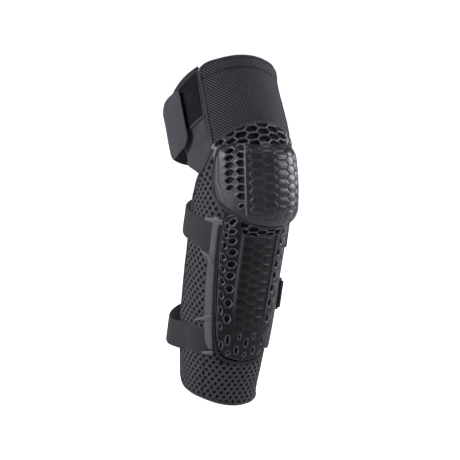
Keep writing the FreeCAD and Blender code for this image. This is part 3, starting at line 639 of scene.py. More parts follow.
# ---------------------------------------------------------------- materials
def plastic(name, dark, light, painted_highlight, roughness, specular=0.5):
    """Clouded grey with a fine grain, paler where the edge attribute is high, as a painted
    highlight on edges, vent rims and tile lips.
    """
    shader = Shader(name)
    cloud = shader.noise(14.0, detail=4.0)
    color = shader.mix(cloud.span(0.35, 0.68), tint(dark), tint(light))
    # painted highlight: edges, vent rims and tile lips are lightened towards the highlight grey
    highlight_mask = shader.edge() * shader.noise(260.0).span(0.22, 0.50, 0.35, 1.0)
    color = shader.mix(highlight_mask.math("MULTIPLY", 1.0, clamp=True), color, tint(painted_highlight))
    grain = shader.noise(2600.0, detail=2.0, roughness=0.6)
    scratches = shader.noise(90.0, detail=6.0, roughness=0.75)
    gloss = grain.times_plus(0.10, roughness - 0.08) + scratches * 0.12
    height = shader.voronoi(1500.0) * 0.7 + grain * 0.5
    normal = shader.bump(height, distance=0.00004, strength=0.55)
    return shader.finish(color, gloss, normal, specular=specular)


def knit(name):
    """Foam pierced by crosses in two offset grids, under a diagonal knit."""
    shader = Shader(name)
    u, v = shader.uv()

    def cross(shift):
        x, y = u.from_middle(KNIT_PERIOD, shift), v.from_middle(KNIT_PERIOD, shift)
        wide = (x - 3.0).larger(y - 1.45)
        tall = (x - 1.6).larger(y - 2.4)
        return wide.smaller(tall)

    solid = cross(0.0).smaller(cross(0.5)).span(-0.35, 0.55)
    rising, falling = u + v, u - v
    strand_pitch = KNIT_PERIOD / 4
    strong = falling.from_middle(strand_pitch).span(0.22, 0.80, 1.0, 0.0)
    weak = rising.from_middle(strand_pitch).span(0.22, 0.80, 1.0, 0.0)
    strand = strong.larger(weak * 0.28)
    yarn = (rising + shader.noise(300.0) * 1.2).wave(0.75)
    fuzz = shader.noise(700.0)
    color = shader.mix(strand, tint(0.005), tint(0.265))
    color = shader.mix(fuzz * 0.55, color, tint(0.03))
    color = shader.mix(solid, tint(0.004), color)
    height = solid * 1.0 + (strand * 0.42 + yarn * 0.16)
    return shader.finish(color, fuzz.times_plus(0.15, 0.75),
                         shader.bump(height, distance=0.0007, strength=0.9),
                         specular=0.22, sheen=0.12)


def air_mesh(name):
    """Open mesh whose holes lie where two diagonal waves meet."""
    shader = Shader(name)
    pitch = 4.8
    u, v = shader.uv()
    rising, falling = (u + v).wave(pitch), (u - v).wave(pitch)
    hole = (rising * falling).span(0.20, 0.46)
    yarn = (u + shader.noise(500.0) * 0.8).wave(0.55)
    fuzz = shader.noise(900.0, detail=2.0)
    line = rising.span(0.0, 0.50, 1.0, 0.0).larger(falling.span(0.0, 0.35, 0.45, 0.0))
    color = shader.mix(fuzz, tint(0.010), tint(0.024))
    color = shader.mix(line, color, tint(0.105))
    color = shader.mix(hole, color, tint(0.004))
    height = yarn * 0.12 - hole
    return shader.finish(color, 0.82, shader.bump(height, distance=0.0007, strength=0.9),
                         specular=0.2, sheen=0.10)


def cloth(name, dark, light, roughness=0.8, sheen=0.12, twill=0.62):
    """Fine twill with soft creases; twill is the weave's pitch in mm."""
    shader = Shader(name)
    u, v = shader.uv()
    weave = (u + v * 0.5).wave(twill) * v.wave(twill * 0.8)
    cloud = shader.noise(38.0, detail=4.0, roughness=0.6)
    color = shader.mix(cloud.span(0.3, 0.7), tint(dark), tint(light))
    color = shader.mix(weave * 0.35, color, tint(light * 1.35))
    crease = shader.noise(55.0, detail=2.0, roughness=0.4)
    height = weave * 0.6 + crease * 2.4
    return shader.finish(color, cloud.times_plus(0.12, roughness - 0.06),
                         shader.bump(height, distance=0.00012, strength=0.8),
                         specular=0.3, sheen=sheen)


def binding(name, half_width, dark, light, thread):
    """Ribbed tape with a row of stitches along each side."""
    shader = Shader(name)
    u, v = shader.uv()
    rib = (u + v * 0.6).wave(0.9)
    groove = (v.size() - half_width * 0.55).size().span(0.18, 0.42, 1.0, 0.0)
    stitch = groove * u.wave(3.1).span(0.22, 0.45)
    fuzz = shader.noise(420.0)
    color = shader.mix(rib.times_plus(0.5, fuzz * 0.5), tint(dark), tint(light))
    color = shader.mix(stitch, color, tint(thread))
    height = rib * 0.35 + (stitch * 1.2 + groove * -0.7)
    return shader.finish(color, 0.78, shader.bump(height, distance=0.00022, strength=0.9),
                         specular=0.25, sheen=0.15)


def webbing(name):
    """Woven strap, lighter at its edges."""
    shader = Shader(name)
    dark, light = 0.020, 0.046
    u, v = shader.uv()
    warp = v.wave(1.9)
    weft = (u + v.wave(3.8) * 0.8).wave(1.3)
    fuzz = shader.noise(520.0)
    weave = warp * weft
    color = shader.mix(weave.times_plus(0.75, fuzz * 0.3), tint(dark), tint(light))
    color = shader.mix(shader.edge() * 0.5, color, tint(light * 1.3))
    height = warp * 0.5 + weft * 0.5
    return shader.finish(color, 0.74, shader.bump(height, distance=0.0003, strength=0.85),
                         specular=0.28, sheen=0.18)


def loop_pile(name):
    shader = Shader(name)
    dark, light = 0.006, 0.022
    fuzz = shader.noise(900.0, detail=4.0, roughness=0.7)
    patches = shader.noise(120.0, roughness=0.6)
    color = shader.mix(fuzz, tint(dark), tint(light))
    color = shader.mix(patches.span(0.45, 0.7) * 0.5, color, tint(light * 1.25))
    height = fuzz + shader.voronoi(1300.0) * 0.8
    return shader.finish(color, 0.95, shader.bump(height, distance=0.0005, strength=0.9),
                         specular=0.1, sheen=0.10)


def hook_tape(name):
    shader = Shader(name)
    hooks = shader.voronoi(760.0)
    color = shader.mix(hooks.span(0.15, 0.45), tint(0.05), tint(0.012))
    return shader.finish(color, hooks.times_plus(0.2, 0.5),
                         shader.bump(hooks, distance=0.0008, strength=0.9), specular=0.4)


def soft_foam(name):
    shader = Shader(name)
    cells = shader.voronoi(420.0)
    cloud = shader.noise(160.0, detail=4.0)
    color = shader.mix(cells.span(0.1, 0.6), tint(0.016), tint(0.034))
    color = shader.mix(cloud * 0.4, color, tint(0.012))
    return shader.finish(color, cloud.times_plus(0.1, 0.86),
                         shader.bump(cells + cloud, distance=0.0005, strength=0.8),
                         specular=0.15)


# The third grey of each plastic is a painted highlight for edges, vent rims and tile lips. The
# shin shell is the same plastic as the cup, set much darker as painted shade on the shin front.
SHELL = plastic("moulded_shell", dark=0.006, light=0.010, painted_highlight=0.185, roughness=0.32,
                specular=0.24)
CUP = plastic("moulded_cup", dark=0.018, light=0.028, painted_highlight=0.200, roughness=0.37)
RAIL = plastic("smooth_rail", dark=0.088, light=0.112, painted_highlight=0.22, roughness=0.50)
KNIT = knit("knit_over_foam")
AIR_MESH = air_mesh("air_mesh")
STRETCH = cloth("smooth_stretch_fabric", dark=0.046, light=0.062)
TAB = cloth("tab_fabric", dark=0.044, light=0.060)
LINING = cloth("lining", dark=0.012, light=0.020, roughness=0.88, sheen=0.1, twill=0.5)
BINDING = binding("edge_binding", half_width=1.6, dark=0.028, light=0.052, thread=0.12)
TRIM = binding("shell_trim", half_width=2.4, dark=0.016, light=0.034, thread=0.075)
WEBBING = webbing("elastic_webbing")
PILE = loop_pile("loop_pile")
HOOK = hook_tape("hook_tape")
FOAM = soft_foam("soft_foam")

# ---------------------------------------------------------------- shin shell
# Height, angle of the shell's side edge
shell_edge = curve([(-113, 35.0), (-91, 36.0), (-63, 37.0), (-34, 37.8), (2, 38.6),
                    (32, 40.2), (60, 40.5), (95, 40.5)])
# Fraction up the shell, narrowing of its lower corners
shell_corner = curve([(0, 0.90), (0.05, 0.965), (0.12, 1.0), (1, 1.0)])
# Fraction across, height of the bottom and top edges
shell_low = curve([
    (0, SHELL_LOW + 15), (0.07, SHELL_LOW + 8), (0.2, SHELL_LOW + 3.5), (0.5, SHELL_LOW),
    (0.8, SHELL_LOW + 3.5), (0.93, SHELL_LOW + 8), (1, SHELL_LOW + 15)])
shell_high = curve([(across, SHELL_HIGH - drop) for across, drop in (
    (0, 6), (0.06, 1), (0.13, 0), (0.19, 4), (0.23, 13), (0.27, 19), (0.5, 22),
    (0.73, 19), (0.77, 13), (0.81, 4), (0.87, 0), (0.94, 1), (1, 6))])
# Height, distance of the inner vents from the centre line
vent_line = curve([(-82, 33.2), (-53, 32.3), (-11, 32.4), (7, 33.4), (40, 34.4), (56, 36.6),
                   (80, 39.4)])
# Inner vent: height, half width, half height, slope. Outer vent below it: half height, width
SHELL_VENTS = [
    (80, 4.3, 2.9, -0.34, 2.3, 2.7), (69.0, 4.7, 3.1, -0.34, 2.9, 2.7),
    (55.5, 5.2, 3.9, -0.34, 3.5, 2.7), (39.7, 5.4, 4.2, -0.20, 3.8, 2.7),
    (23, 5.4, 4.2, -0.20, 3.8, 2.7), (7.0, 5.4, 4.3, -0.20, 4.2, 2.7),
    (-11.5, 5.2, 4.7, 0.0, 4.6, 2.7), (-32.0, 4.6, 4.7, 0.0, 4.8, 1.9),
    (-54.0, 4.2, 5.0, 0.0, 4.0, 1.9)]
LAST_VENT_GAP = 22
# Openings near the bottom, on both sides: x, height, half width, half height
SHELL_LOW_VENTS = [
    (0.0, -87.0, 2.6, 5.4), (14.5, -98.0, 2.6, 4.8), (29.0, -84.0, 2.8, 6.0),
    (27.0, -102.0, 2.0, 2.6), (12.0, -78.0, 1.7, 3.4), (0.0, -104.5, 2.0, 2.4),
    (38.0, -92.0, 1.9, 4.6)]


def shell_side(t):
    return shell_edge(SHELL_LOW + (SHELL_HIGH - SHELL_LOW) * t) * shell_corner(t)


def shell_openings(x, y):
    gap = np.full(x.shape, 50.0)
    from_inner = np.abs(x) - vent_line(y)
    from_outer = np.abs(x) - (shell_edge(y) * 1.2566 - 5.6)
    heights = [vent[0] for vent in SHELL_VENTS]
    following = heights[1:] + [heights[-1] - LAST_VENT_GAP]
    for vent, below in zip(SHELL_VENTS, following):
        height, wide, tall, slope, outer_tall, outer_wide = vent
        gap = np.minimum(gap, -hexagon(from_inner, y - height - from_inner * slope,
                                       wide, tall, wide * 0.42))
        middle = (height + below) / 2
        gap = np.minimum(gap, -hexagon(from_outer, y - middle - 0.6 * from_outer,
                                       outer_wide, outer_tall, outer_wide * 0.15))
    for place_x, height, wide, tall in SHELL_LOW_VENTS:
        gap = np.minimum(gap, -hexagon(np.abs(x) - place_x, y - height, wide, tall, wide * 0.5))
    return gap


def shell_tiles(x, y):
    """Distance inside the raised tiles, and how strongly they show between the ridges."""
    zone = ramp(SHELL_RIDGE - 1.0, SHELL_RIDGE - 2.8, np.abs(x)) * ramp(-92, -50, y)
    return honeycomb(x, y, 15.0, 12.5, (9.6, 6.25, 5.4)), zone


def shell_top(x, y):
    aside = np.abs(x)
    ridge = 2.5 * bell(aside - SHELL_RIDGE, 2.1) * (0.12 + 0.88 * ramp(-72, -12, y))
    inside, zone = shell_tiles(x, y)
    tile = 0.80 * ramp(0.30, 0.95, inside) + 0.30 * ramp(0.9, 5.5, inside)
    flank = 0.35 * ramp(SHELL_RIDGE + 1, SHELL_RIDGE + 9, aside)
    lip = 0.7 * bell(shell_openings(x, y) - 1.5, 0.8)
    lip = lip * ramp(SHELL_RIDGE, SHELL_RIDGE + 4, aside)
    return 0.3 + 3.0 + ridge + (tile - 0.60) * zone + flank + lip


# Where the shell's painted highlight goes: tile lips, vent rims and the ridges.
def shell_highlight(x, y):
    inside, zone = shell_tiles(x, y)
    tiles = 0.30 * bell(inside - 0.95, 0.40) * zone
    rims = 0.8 * bell(shell_openings(x, y) - 0.8, 0.8)
    ridges = 0.6 * bell(np.abs(x) - SHELL_RIDGE, 0.9) * ramp(-60, -20, y)
    return np.maximum(tiles, np.maximum(rims, ridges))


place(sheet("shin_shell_moulding", body_surface, shell_low, shell_high,
            lambda t: -shell_side(t), shell_side, 0.74, shell_top, 0.3, SHELL,
            shell_openings, edge_radius=1.0, painted_highlight=shell_highlight),
      "shin", "shell_plastic", "shin_shell")

# trim down the sides and around the bottom, just outside the shell
side_heights = (SHELL_HIGH - 7, SHELL_HIGH - 60, SHELL_LOW + 60, SHELL_LOW + 24)
trim_path = [(height, -(shell_edge(height) + 2.4)) for height in side_heights]
trim_path += [(SHELL_LOW + 10, -34.6), (SHELL_LOW + 1.5, -28.0), (SHELL_LOW - 2.4, -17),
              (SHELL_LOW - 4.2, 0)]
place(tape("shell_groove_trim", body_surface, mirrored(trim_path), 4.8, 0.2, 2.1, TRIM),
      "shin", "binding", "shell_edge_trim")


# honeycomb web between shell and cup
def lower_web_openings(x, y):
    return -honeycomb(x, y, 12.6, 7.6, (7.1, 2.85, 3.6), y0=SHELL_HIGH - 16)


lower_web_low = curve([(0, SHELL_HIGH - 17), (0.15, SHELL_HIGH - 19), (0.5, SHELL_HIGH - 21.2),
                       (0.85, SHELL_HIGH - 19), (1, SHELL_HIGH - 17)])
place(sheet("lower_flex_web", body_surface, lower_web_low, SHELL_HIGH + 11.0, -30.0, 30.0,
            0.8, 2.9, 0.3, SHELL, lower_web_openings),
      WEB_BEND, "shell_plastic", "lower_flex_lattice")

# ---------------------------------------------------------------- side rails and fingers
RAIL_LOW, RAIL_HIGH = SHELL_LOW + 12, SHELL_HIGH - 5
# Height, outer angle of the rail
rail_edge = curve([(-101, 44.5), (-90, 49.5), (-60, 51.6), (81, 52.4)])


def rail_height(t):
    return RAIL_LOW + 182 * t


for name, side in SIDES:
    place(side_sheet(name + "_rail_strip", side, RAIL_LOW, RAIL_HIGH,
                     lambda t: shell_edge(rail_height(t)) + 4.7,
                     lambda t: rail_edge(rail_height(t)), 1.2,
                     lambda x, y: 5.0 + 0.35 * np.sin(y / 60.0), -0.2, RAIL, edge_radius=1.5),
          "shin", "rail_plastic", name + "_side_rail")


def finger(name, tip_height, root_height, root_angle, tip_angle, half_tall, tip_part):
    """Tapered finger on the left side, running outward from the rail."""
    def outline(x, y):
        along = (np.degrees(x / SHIN_UNROLL) + tip_angle) / (tip_angle - root_angle)
        along = np.clip(along, 0, 1)     # 0 at the tip
        middle = tip_height + (root_height - tip_height) * along
        taper = tip_part + (1 - tip_part) * ramp(0, 0.9, along)
        return half_tall * taper - np.abs(y - middle)

    margin = half_tall + 0.5
    return sheet(name, body_surface, min(tip_height, root_height) - margin,
                 max(tip_height, root_height) + margin, -tip_angle, -root_angle, 0.7,
                 6.6, 0.4, RAIL, outline, edge_radius=1.5)


# Name, tip and root height, root and tip angle, half height, tip fraction, parts replaced
FINGERS = (
    ("upper_finger_top", 77.0, 78.0, 41.0, 63.5, 3.0, 0.7, ["upper_left_strap_bracket"]),
    ("upper_finger_bottom", 33.5, 22.5, 46.0, 64.5, 4.4, 0.22, []),
    ("lower_finger_top", -66.0, -55.0, 42.0, 65.5, 3.8, 0.3, ["lower_left_strap_bracket"]),
    ("lower_finger_bottom", -107.5, -105.0, 39.0, 52.5, 2.6, 0.5, []))
for *shape, replaced in FINGERS:
    place(finger(*shape), "shin", "rail_plastic", *replaced)

# ---------------------------------------------------------------- chassis cloth
# Height, angle of the chassis's back edge
back_edge = curve([(-182, 130), (-153, 128), (-132, 123), (-68, 110.5), (-53, 107), (10, 101),
                   (90, 102.7), (140, 100)])
# Angle, height of its bottom edge
bottom_edge = curve([(0, -178), (47, -173), (97, -168), (115, -161), (128, -153)])
FRONT_ANGLE = 51.6                  # half width of the front cloth


def knit_top(x, y):
    """Dimples in two offset grids, matching the crosses of the knit, on gentle waves."""
    def dimple(shift):
        dx = (np.mod(x / KNIT_PERIOD + shift, 1) - 0.5) * KNIT_PERIOD
        dy = (np.mod(y / KNIT_PERIOD + shift, 1) - 0.5) * KNIT_PERIOD
        return np.exp(-((dx * dx + dy * dy) / 5.0) ** 1.5)

    waves = 0.25 * np.sin(x / 19.0 + 0.6) * np.sin(y / 31.0)
    return -0.2 - 1.3 * (dimple(0.0) + dimple(0.5)) + waves


for name, side in SIDES:
    place(side_sheet(name + "_chassis_cloth", side,
                     lambda s: bottom_edge(52.0 + (124 - 52.0) * s) + 0.6,
                     lambda s: 58 - 12 * s, 52.0, lambda t: back_edge(-150 + 196 * t) - 1.2,
                     1.05, knit_top, CLOTH_BACK, KNIT),
          "shin", "mesh_fabric", name + "_side_panel")

place(sheet("front_chassis_cloth", body_surface,
            lambda s: bottom_edge(np.abs(s - 0.5) * 2 * FRONT_ANGLE) + 0.6, SHELL_LOW - 5.5,
            -FRONT_ANGLE, FRONT_ANGLE, 1.05, knit_top, CLOTH_BACK, KNIT),
      "shin", "mesh_fabric", "ankle_panel")

# cloth under the shell's flanks, seen through the vents and beside the rails
for name, side in SIDES:
    place(side_sheet(name + "_chassis_front_cloth", side, SHELL_LOW - 5.2, 60.0, 30.0,
                     FRONT_ANGLE, 1.4, lambda x, y: knit_top(x, y) - 0.1, -0.55, KNIT,
                     edge_radius=0.0),
          "shin", "mesh_fabric")

chassis_path = [(44, -back_edge(46) + 0.2), (10, -back_edge(10) + 0.2),
                (-53, -back_edge(-53) + 0.2), (-100, -back_edge(-100)),
                (-132, -back_edge(-132)), (-148, -127.0), (-155, -124.5), (-161.5, -115),
                (-168, -97), (-171, -72), (-173, -47), (-176.4, -22), (-178, 0)]
place(tape("chassis_binding", body_surface, mirrored(chassis_path), 4.6, -3.9, 0.9, BINDING),
      "shin", "binding", "chassis_edge_binding")

for name, low, high, bend in (("low", 58.0, 106.0, UNDERLAY_BEND),
                              ("high", 138.0, 183.0, ARCH_BEND)):
    place(sheet("knee_underlay_" + name, body_surface, low, high, -52.5, 52.5, 1.8, -0.9, -2.1,
                LINING, edge_radius=0.0),
          bend, "lining")

# ---------------------------------------------------------------- knee cup
# Fraction across, height of the bottom and top edges in the cup's own frame
cup_low = curve([(0, -12), (0.02, -16), (0.11, -28), (0.18, -35), (0.28, -47), (0.38, -53),
                 (0.5, -55), (0.62, -53), (0.72, -47), (0.82, -35), (0.89, -28), (0.98, -16),
                 (1, -12)])
cup_high = curve([(0, 49), (0.05, 55), (0.14, 60), (0.27, 58), (0.36, 56), (0.5, 56),
                  (0.64, 56), (0.73, 58), (0.86, 60), (0.95, 55), (1, 49)])
# Fraction up, angle of the side edge
cup_side = curve([(0, 65.5), (0.35, 69), (0.7, 67), (1, 62)])


def cup_openings(x, y):
    gap = np.full(x.shape, 60.0)
    aside = np.abs(x)
    # hexagons cut off beside the ridge
    for k in range(7):
        height = -14.2 + k * 11.2
        dx = aside - 49.4
        cell = hexagon(dx, y - height - 0.10 * dx, 8.2, 4.35, 3.4)
        gap = np.minimum(gap, -np.minimum(cell, aside - 45.6))
    # full hexagons further out, the lowest one smaller
    for k in range(6):
        height = -1.7 + k * 10.1
        dx = aside - 68.8 - 0.25 * k
        wide, tall = (9.0, 4.15) if k else (7.6, 3.4)
        cell = hexagon(dx, y - height + 0.12 * dx, wide, tall, wide * 0.40)
        gap = np.minimum(gap, -cell)
    # slanted opening below the inner column
    dx = aside - 50.5
    return np.minimum(gap, -hexagon(dx, y + 26.8 + 0.35 * dx, 5.0, 2.2, 2.0))


def cup_tiles(x, y):
    zone = ramp(CUP_RIDGE - 0.5, CUP_RIDGE - 2.2, np.abs(x)) * ramp(-54, -46, y)
    return honeycomb(x, y, 18.3, 12.2, (11.6, 6.1, 6.7), x0=9.1, y0=3.0), zone


def cup_top(x, y):
    aside = np.abs(x)
    ridge = 1.8 * bell(aside - CUP_RIDGE, 1.6) * ramp(-44, -34, y)
    inside, zone = cup_tiles(x, y)
    tile = 0.95 * ramp(0.30, 1.0, inside) + 0.40 * ramp(0.9, 5.8, inside)
    lip = 0.4 * bell(cup_openings(x, y) - 1.3, 0.8) * ramp(CUP_RIDGE, CUP_RIDGE + 4, aside)
    side_groove = 0.48 * bell(aside - 92.5 + np.maximum(0, 6 - y) * 0.55, 1.3)
    return 0.2 + ridge + (tile - 0.65) * zone + lip - side_groove


# Where the cup's painted highlight goes: tile lips, opening rims and the ridges.
def cup_highlight(x, y):
    inside, zone = cup_tiles(x, y)
    tiles = 0.28 * bell(inside - 1.0, 0.45) * zone
    rims = 0.7 * bell(cup_openings(x, y) - 0.7, 0.7)
    ridges = 0.9 * bell(np.abs(x) - CUP_RIDGE, 0.9) * ramp(-44, -34, y)
    return np.maximum(tiles, np.maximum(rims, ridges))


place(sheet("knee_cup_moulding", cup_surface, cup_low, cup_high, lambda t: -cup_side(t),
            cup_side, 0.76, cup_top, -CUP_THICK, CUP, cup_openings, edge_radius=1.4,
            unroll=CUP_UNROLL, painted_highlight=cup_highlight),
      "knee", "shell_plastic", "knee_cup")
cup_rim = [(58.0, -57.5), (52.0, -64.0), (42, -67.0), (26, -70.0), (6, -71.0), (-8, -69.5),
           (-18, -64.5), (-30, -54), (-37.5, -43.5), (-48, -31), (-55.5, -16), (-57.5, 0)]
place(tape("cup_rim_trim", cup_surface, mirrored(cup_rim), 6.0, -CUP_THICK - 0.8,
           -CUP_THICK + 2.8, TRIM),
      "knee", "binding", "cup_edge_trim")

# web between the cup and the thigh cuff, under the cuff's arched front edge
# Fraction across (from -50 to 50 degrees), height of the arch
arch = curve([(0, 163), (0.12, 169), (0.22, 174.3), (0.35, 179.4), (0.5, 181.5),
              (0.65, 179.4), (0.78, 174.3), (0.88, 169), (1, 163)])


def arch_at(angle):
    return arch(np.clip((angle + 50) / 100.0, 0, 1))


def upper_web_openings(x, y):
    aside = np.abs(x)
    middle = -honeycomb(x, y + aside * 0.10, 15.4, 11.2, (9.0, 4.2, 4.6), y0=158.0)
    flanks = -honeycomb(x, y + aside * 0.20, 16.0, 11.0, (7.2, 3.5, 3.0), x0=4.0, y0=163.0)
    return np.where(aside < 40, middle, flanks)


# the rims of its openings get a painted highlight through the edge attribute
place(sheet("upper_flex_web", body_surface,
            curve([(0, 136), (0.2, 143), (0.5, 150), (0.8, 143), (1, 136)]),
            lambda s: arch_at(s * 108 - 54) + 1.0, -54.0, 54.0, 0.9,
            lambda x, y: 3.0 + 0.8 * bell(x, 45.0), 0.4, CUP, upper_web_openings,
            edge_radius=1.2, unroll=78.0,
            painted_highlight=lambda x, y: 0.6 * bell(upper_web_openings(x, y) - 0.9, 0.6)),
      ARCH_BEND, "shell_plastic", "upper_flex_lattice")

# ---------------------------------------------------------------- knee gussets
# Two pieces per side, meeting at GUSSET_SPLIT
GUSSET_SPLIT = 108.0
# Angle, height of the upper edge
gusset_seam = curve([(40, 166), (53.5, 160.5), (58, 154.5), (64.5, 146.2), (71.3, 141.0),
                     (79.2, 135.4), (87.7, 127.5), (93.5, 119.5), (97.5, 111.5),
                     (104, 108.6)])
# Height, angle of the binding over that edge
GUSSET_TOP_PATH = [(104, 100.6), (110, 98.8), (119.5, 93.8), (127.5, 88.0), (135.2, 79.6),
                   (141.0, 71.3), (146.2, 64.5), (154.5, 58.0), (162.5, 53.4), (170, 52.4)]
for name, side in SIDES:
    place(side_sheet(name + "_gusset_lower", side, lambda s: 58.6 - 12 * s, GUSSET_SPLIT, 42.0,
                     lambda t: back_edge(46 + 55 * t) - 1.2, 1.05, knit_top, CLOTH_BACK, KNIT,
                     edge_radius=0.0),
          GUSSET_LOW_BEND, "mesh_fabric", name + "_knee_gusset")
    place(side_sheet(name + "_gusset_upper", side, GUSSET_SPLIT,
                     lambda s: gusset_seam(42.0 + 58.0 * s), 42.0,
                     lambda t: back_edge(108 + 28 * t) - 1.2, 1.05, knit_top, CLOTH_BACK, KNIT,
                     edge_radius=0.0),
          GUSSET_HIGH_BEND, "mesh_fabric")
    low_path = [(44.5, back_edge(46) - 0.2)]
    low_path += [(height, back_edge(height) - 0.2) for height in (70, 90, 108)]
    place(tape(name + "_gusset_binding_lower", body_surface, on_side(side, low_path), 4.6,
               -3.9, 0.9, BINDING),
          GUSSET_LOW_BEND, "binding")
    place(tape(name + "_gusset_binding_upper", body_surface, on_side(side, GUSSET_TOP_PATH),
               4.6, -3.9, 1.2, BINDING),
          GUSSET_HIGH_BEND, "binding")

# ---------------------------------------------------------------- thigh cuff
# Fraction across, height of the cuff's top edge at the front
cuff_top = curve([(0, 279.3), (0.055, 282.0), (0.21, 285.6), (0.35, 287.4), (0.5, 288.2),
                  (0.65, 287.4), (0.79, 285.6), (0.945, 282.0), (1, 279.3)])


def soft_top(x, y, depth):
    """Uneven outer face of soft cloth."""
    waves = 0.6 * np.sin(x / 17.0 + 1.2) * np.sin(y / 23.0) + 0.4 * np.sin(x / 9.0 + y / 14.0)
    return -0.2 + depth * waves


def front_top(x, y):
    seam = 0.9 * bell(y - 262.5 - 8.5 * (1 - (x / 66.0) ** 2), 1.3)
    return soft_top(x, y, 0.5) + 0.5 - seam


def stretch_top(x, y):
    """Slanted wrinkles that fade towards both ends."""
    wrinkles = np.sin((y - x * 0.8) / 6.5)
    return -0.7 + 0.7 * wrinkles * ramp(140, 160, y) * ramp(207, 190, y)


place(sheet("thigh_front_mesh", body_surface, lambda s: arch(s) + 2.0,
            lambda s: cuff_top(s) - 1.2, lambda t: -51.2 + 2.9 * t, lambda t: 51.2 - 2.9 * t,
            1.3, front_top, CLOTH_BACK, AIR_MESH, unroll=THIGH_UNROLL),
      "thigh", "air_mesh", "thigh_front_panel")
seam_path = mirrored([(261.0, -49.0), (266.5, -30), (270.5, -12), (271.5, 0)])
place(tape("thigh_mesh_seam", body_surface, seam_path, 2.0, -0.5, 0.95, TRIM),
      "thigh", "binding")
top_path = mirrored([(166, -52.6), (200, -51.6), (240, -50.2), (270, -49.2), (277.5, -47.6),
                     (281.5, -43), (285, -28), (288, 0)])
place(tape("thigh_binding_top", body_surface, top_path, 4.4, -3.9, 1.4, BINDING),
      "thigh", "binding", "thigh_top_binding")
arch_path = mirrored([(arch_at(angle) + 1.2, angle) for angle in
                      (-49.5, -44.0, -38.0, -31.0, -24.0, -16.0, -8.0, 0.0)])
place(tape("thigh_binding_arch", body_surface, arch_path, 5.6, -3.9, 3.4, BINDING),
      "thigh", "binding", "thigh_arch_binding")

# Fraction outward, height of the stretch cloth's bottom edge
stretch_low = curve([(0, 162), (0.1, 156), (0.24, 147.5), (0.39, 142.0), (0.56, 136.6),
                     (0.775, 147.5), (1, 161)])
# Height and angle along each tape
HEM_PATH = [(136.4, 79.0), (141.0, 83.0), (148.0, 89.0), (155.0, 94.6), (161.5, 98.8)]
CUFF_SIDE_PATH = [(280.8, 50.0), (275.6, 62), (266.5, 79), (259, 91.5), (254.5, 96.6),
                  (246, 98.2), (225, 98.4), (196, 98.6)]
CUFF_SEAM_PATH = [(208.2, 54.8), (202.5, 70), (197, 85), (193.2, 96.5)]

for name, side in SIDES:
    panel = side_sheet(name + "_thigh_side_cloth", side, curve([(0, 207), (1, 192.5)]),
                       curve([(0, 279.5), (1, 256)]), lambda t: 52.8 - 2.4 * t, 97.0, 1.6,
                       lambda x, y: soft_top(x, y, 0.45), CLOTH_BACK, STRETCH,
                       unroll=THIGH_UNROLL)
    place(puff(panel, limit=0.0007), "thigh", "smooth_fabric", name + "_thigh_panel")
    gusset = side_sheet(name + "_stretch_cloth", side, stretch_low,
                        curve([(0, 207.4), (1, 193)]), 53.6, 99.0, 1.4, stretch_top, -2.8,
                        STRETCH, unroll=THIGH_UNROLL)
    place(puff(gusset, limit=0.0009), STRETCH_BEND, "smooth_fabric", name + "_stretch_gusset")
    place(tape(name + "_stretch_hem", body_surface, on_side(side, HEM_PATH), 5.0, -3.4, 0.4,
               BINDING),
          STRETCH_BEND, "binding")
    if side < 0:
        place(side_sheet("loop_landing", side, curve([(0, 210.5), (1, 196.5)]),
                         curve([(0, 275), (1, 253)]), lambda t: 55.6 - 2.6 * t, 94.5, 1.1,
                         lambda x, y: 1.7 + 0.22 * np.sin(x * 1.3) * np.sin(y * 1.1), 0.15,
                         PILE, edge_radius=0.7, unroll=THIGH_UNROLL),
              "thigh", "loop", "loop_patch")
    else:
        place(side_sheet("strap_anchor_patch", side, curve([(0, 200), (1, 197)]),
                         curve([(0, 250), (1, 252)]), 64.0, 82.0, 1.4, 1.7, 0.15, WEBBING,
                         edge_radius=0.7, unroll=THIGH_UNROLL),
              "thigh", "webbing", "thigh_strap_anchor")
    place(tape(name + "_thigh_side_binding", body_surface, on_side(side, CUFF_SIDE_PATH), 4.2,
               -3.9, 1.0, BINDING),
          "thigh", "binding")
    place(tape(name + "_thigh_side_seam", body_surface, on_side(side, CUFF_SEAM_PATH), 4.2,
               -0.2, 1.3, BINDING),
          "thigh", "binding")

# ---------------------------------------------------------------- thigh strap
# Plan paths (x, y) in the leaning thigh frame
THIGH_STRAP_PATH = [(84.6, 10), (85.5, 28), (81, 54), (65, 79), (40, 95.5), (2, 103),
                    (-36, 95.5), (-58, 80), (-70.5, 62)]
THIGH_TAB_PATH = [(-71.7, 60.0), (-76.8, 45), (-79.6, 28), (-79.3, 12), (-77.6, -4)]


def thigh_tab_relief(inset):
    """Stitch groove with a raised field inside it."""
    return 0.5 * ramp(4, 12, inset) - 0.55 * bell(inset - 4.0, 0.9)


place(band("thigh_back_strap", THIGH_STRAP_PATH, 78, 138, 1.8, thigh_frame, WEBBING, wave=0.3),
      "thigh", "webbing", "thigh_strap")
place(band("thigh_wing_tab", THIGH_TAB_PATH,
           curve([(0, 76), (0.35, 62), (0.8, 64), (0.93, 69), (1, 76)]),
           curve([(0, 138), (0.4, 146.5), (0.92, 147), (1, 143)]), 2.4, thigh_frame, TAB,
           pitch=1.3, wave=0.25, edge_radius=1.2, relief=thigh_tab_relief),
      "thigh_tab", "smooth_fabric", "thigh_strap_tab")
place(band("thigh_hook_pad", THIGH_TAB_PATH, 80, 138, 1.0, thigh_frame, HOOK, pitch=1.5,
           shift=1.85, start=0.45, end=0.93, edge_radius=0.4),
      "thigh_tab", "hook", "thigh_hook_patch")

# ---------------------------------------------------------------- calf straps
HALF_STRAP = 19
HALF_TAB = 18.5


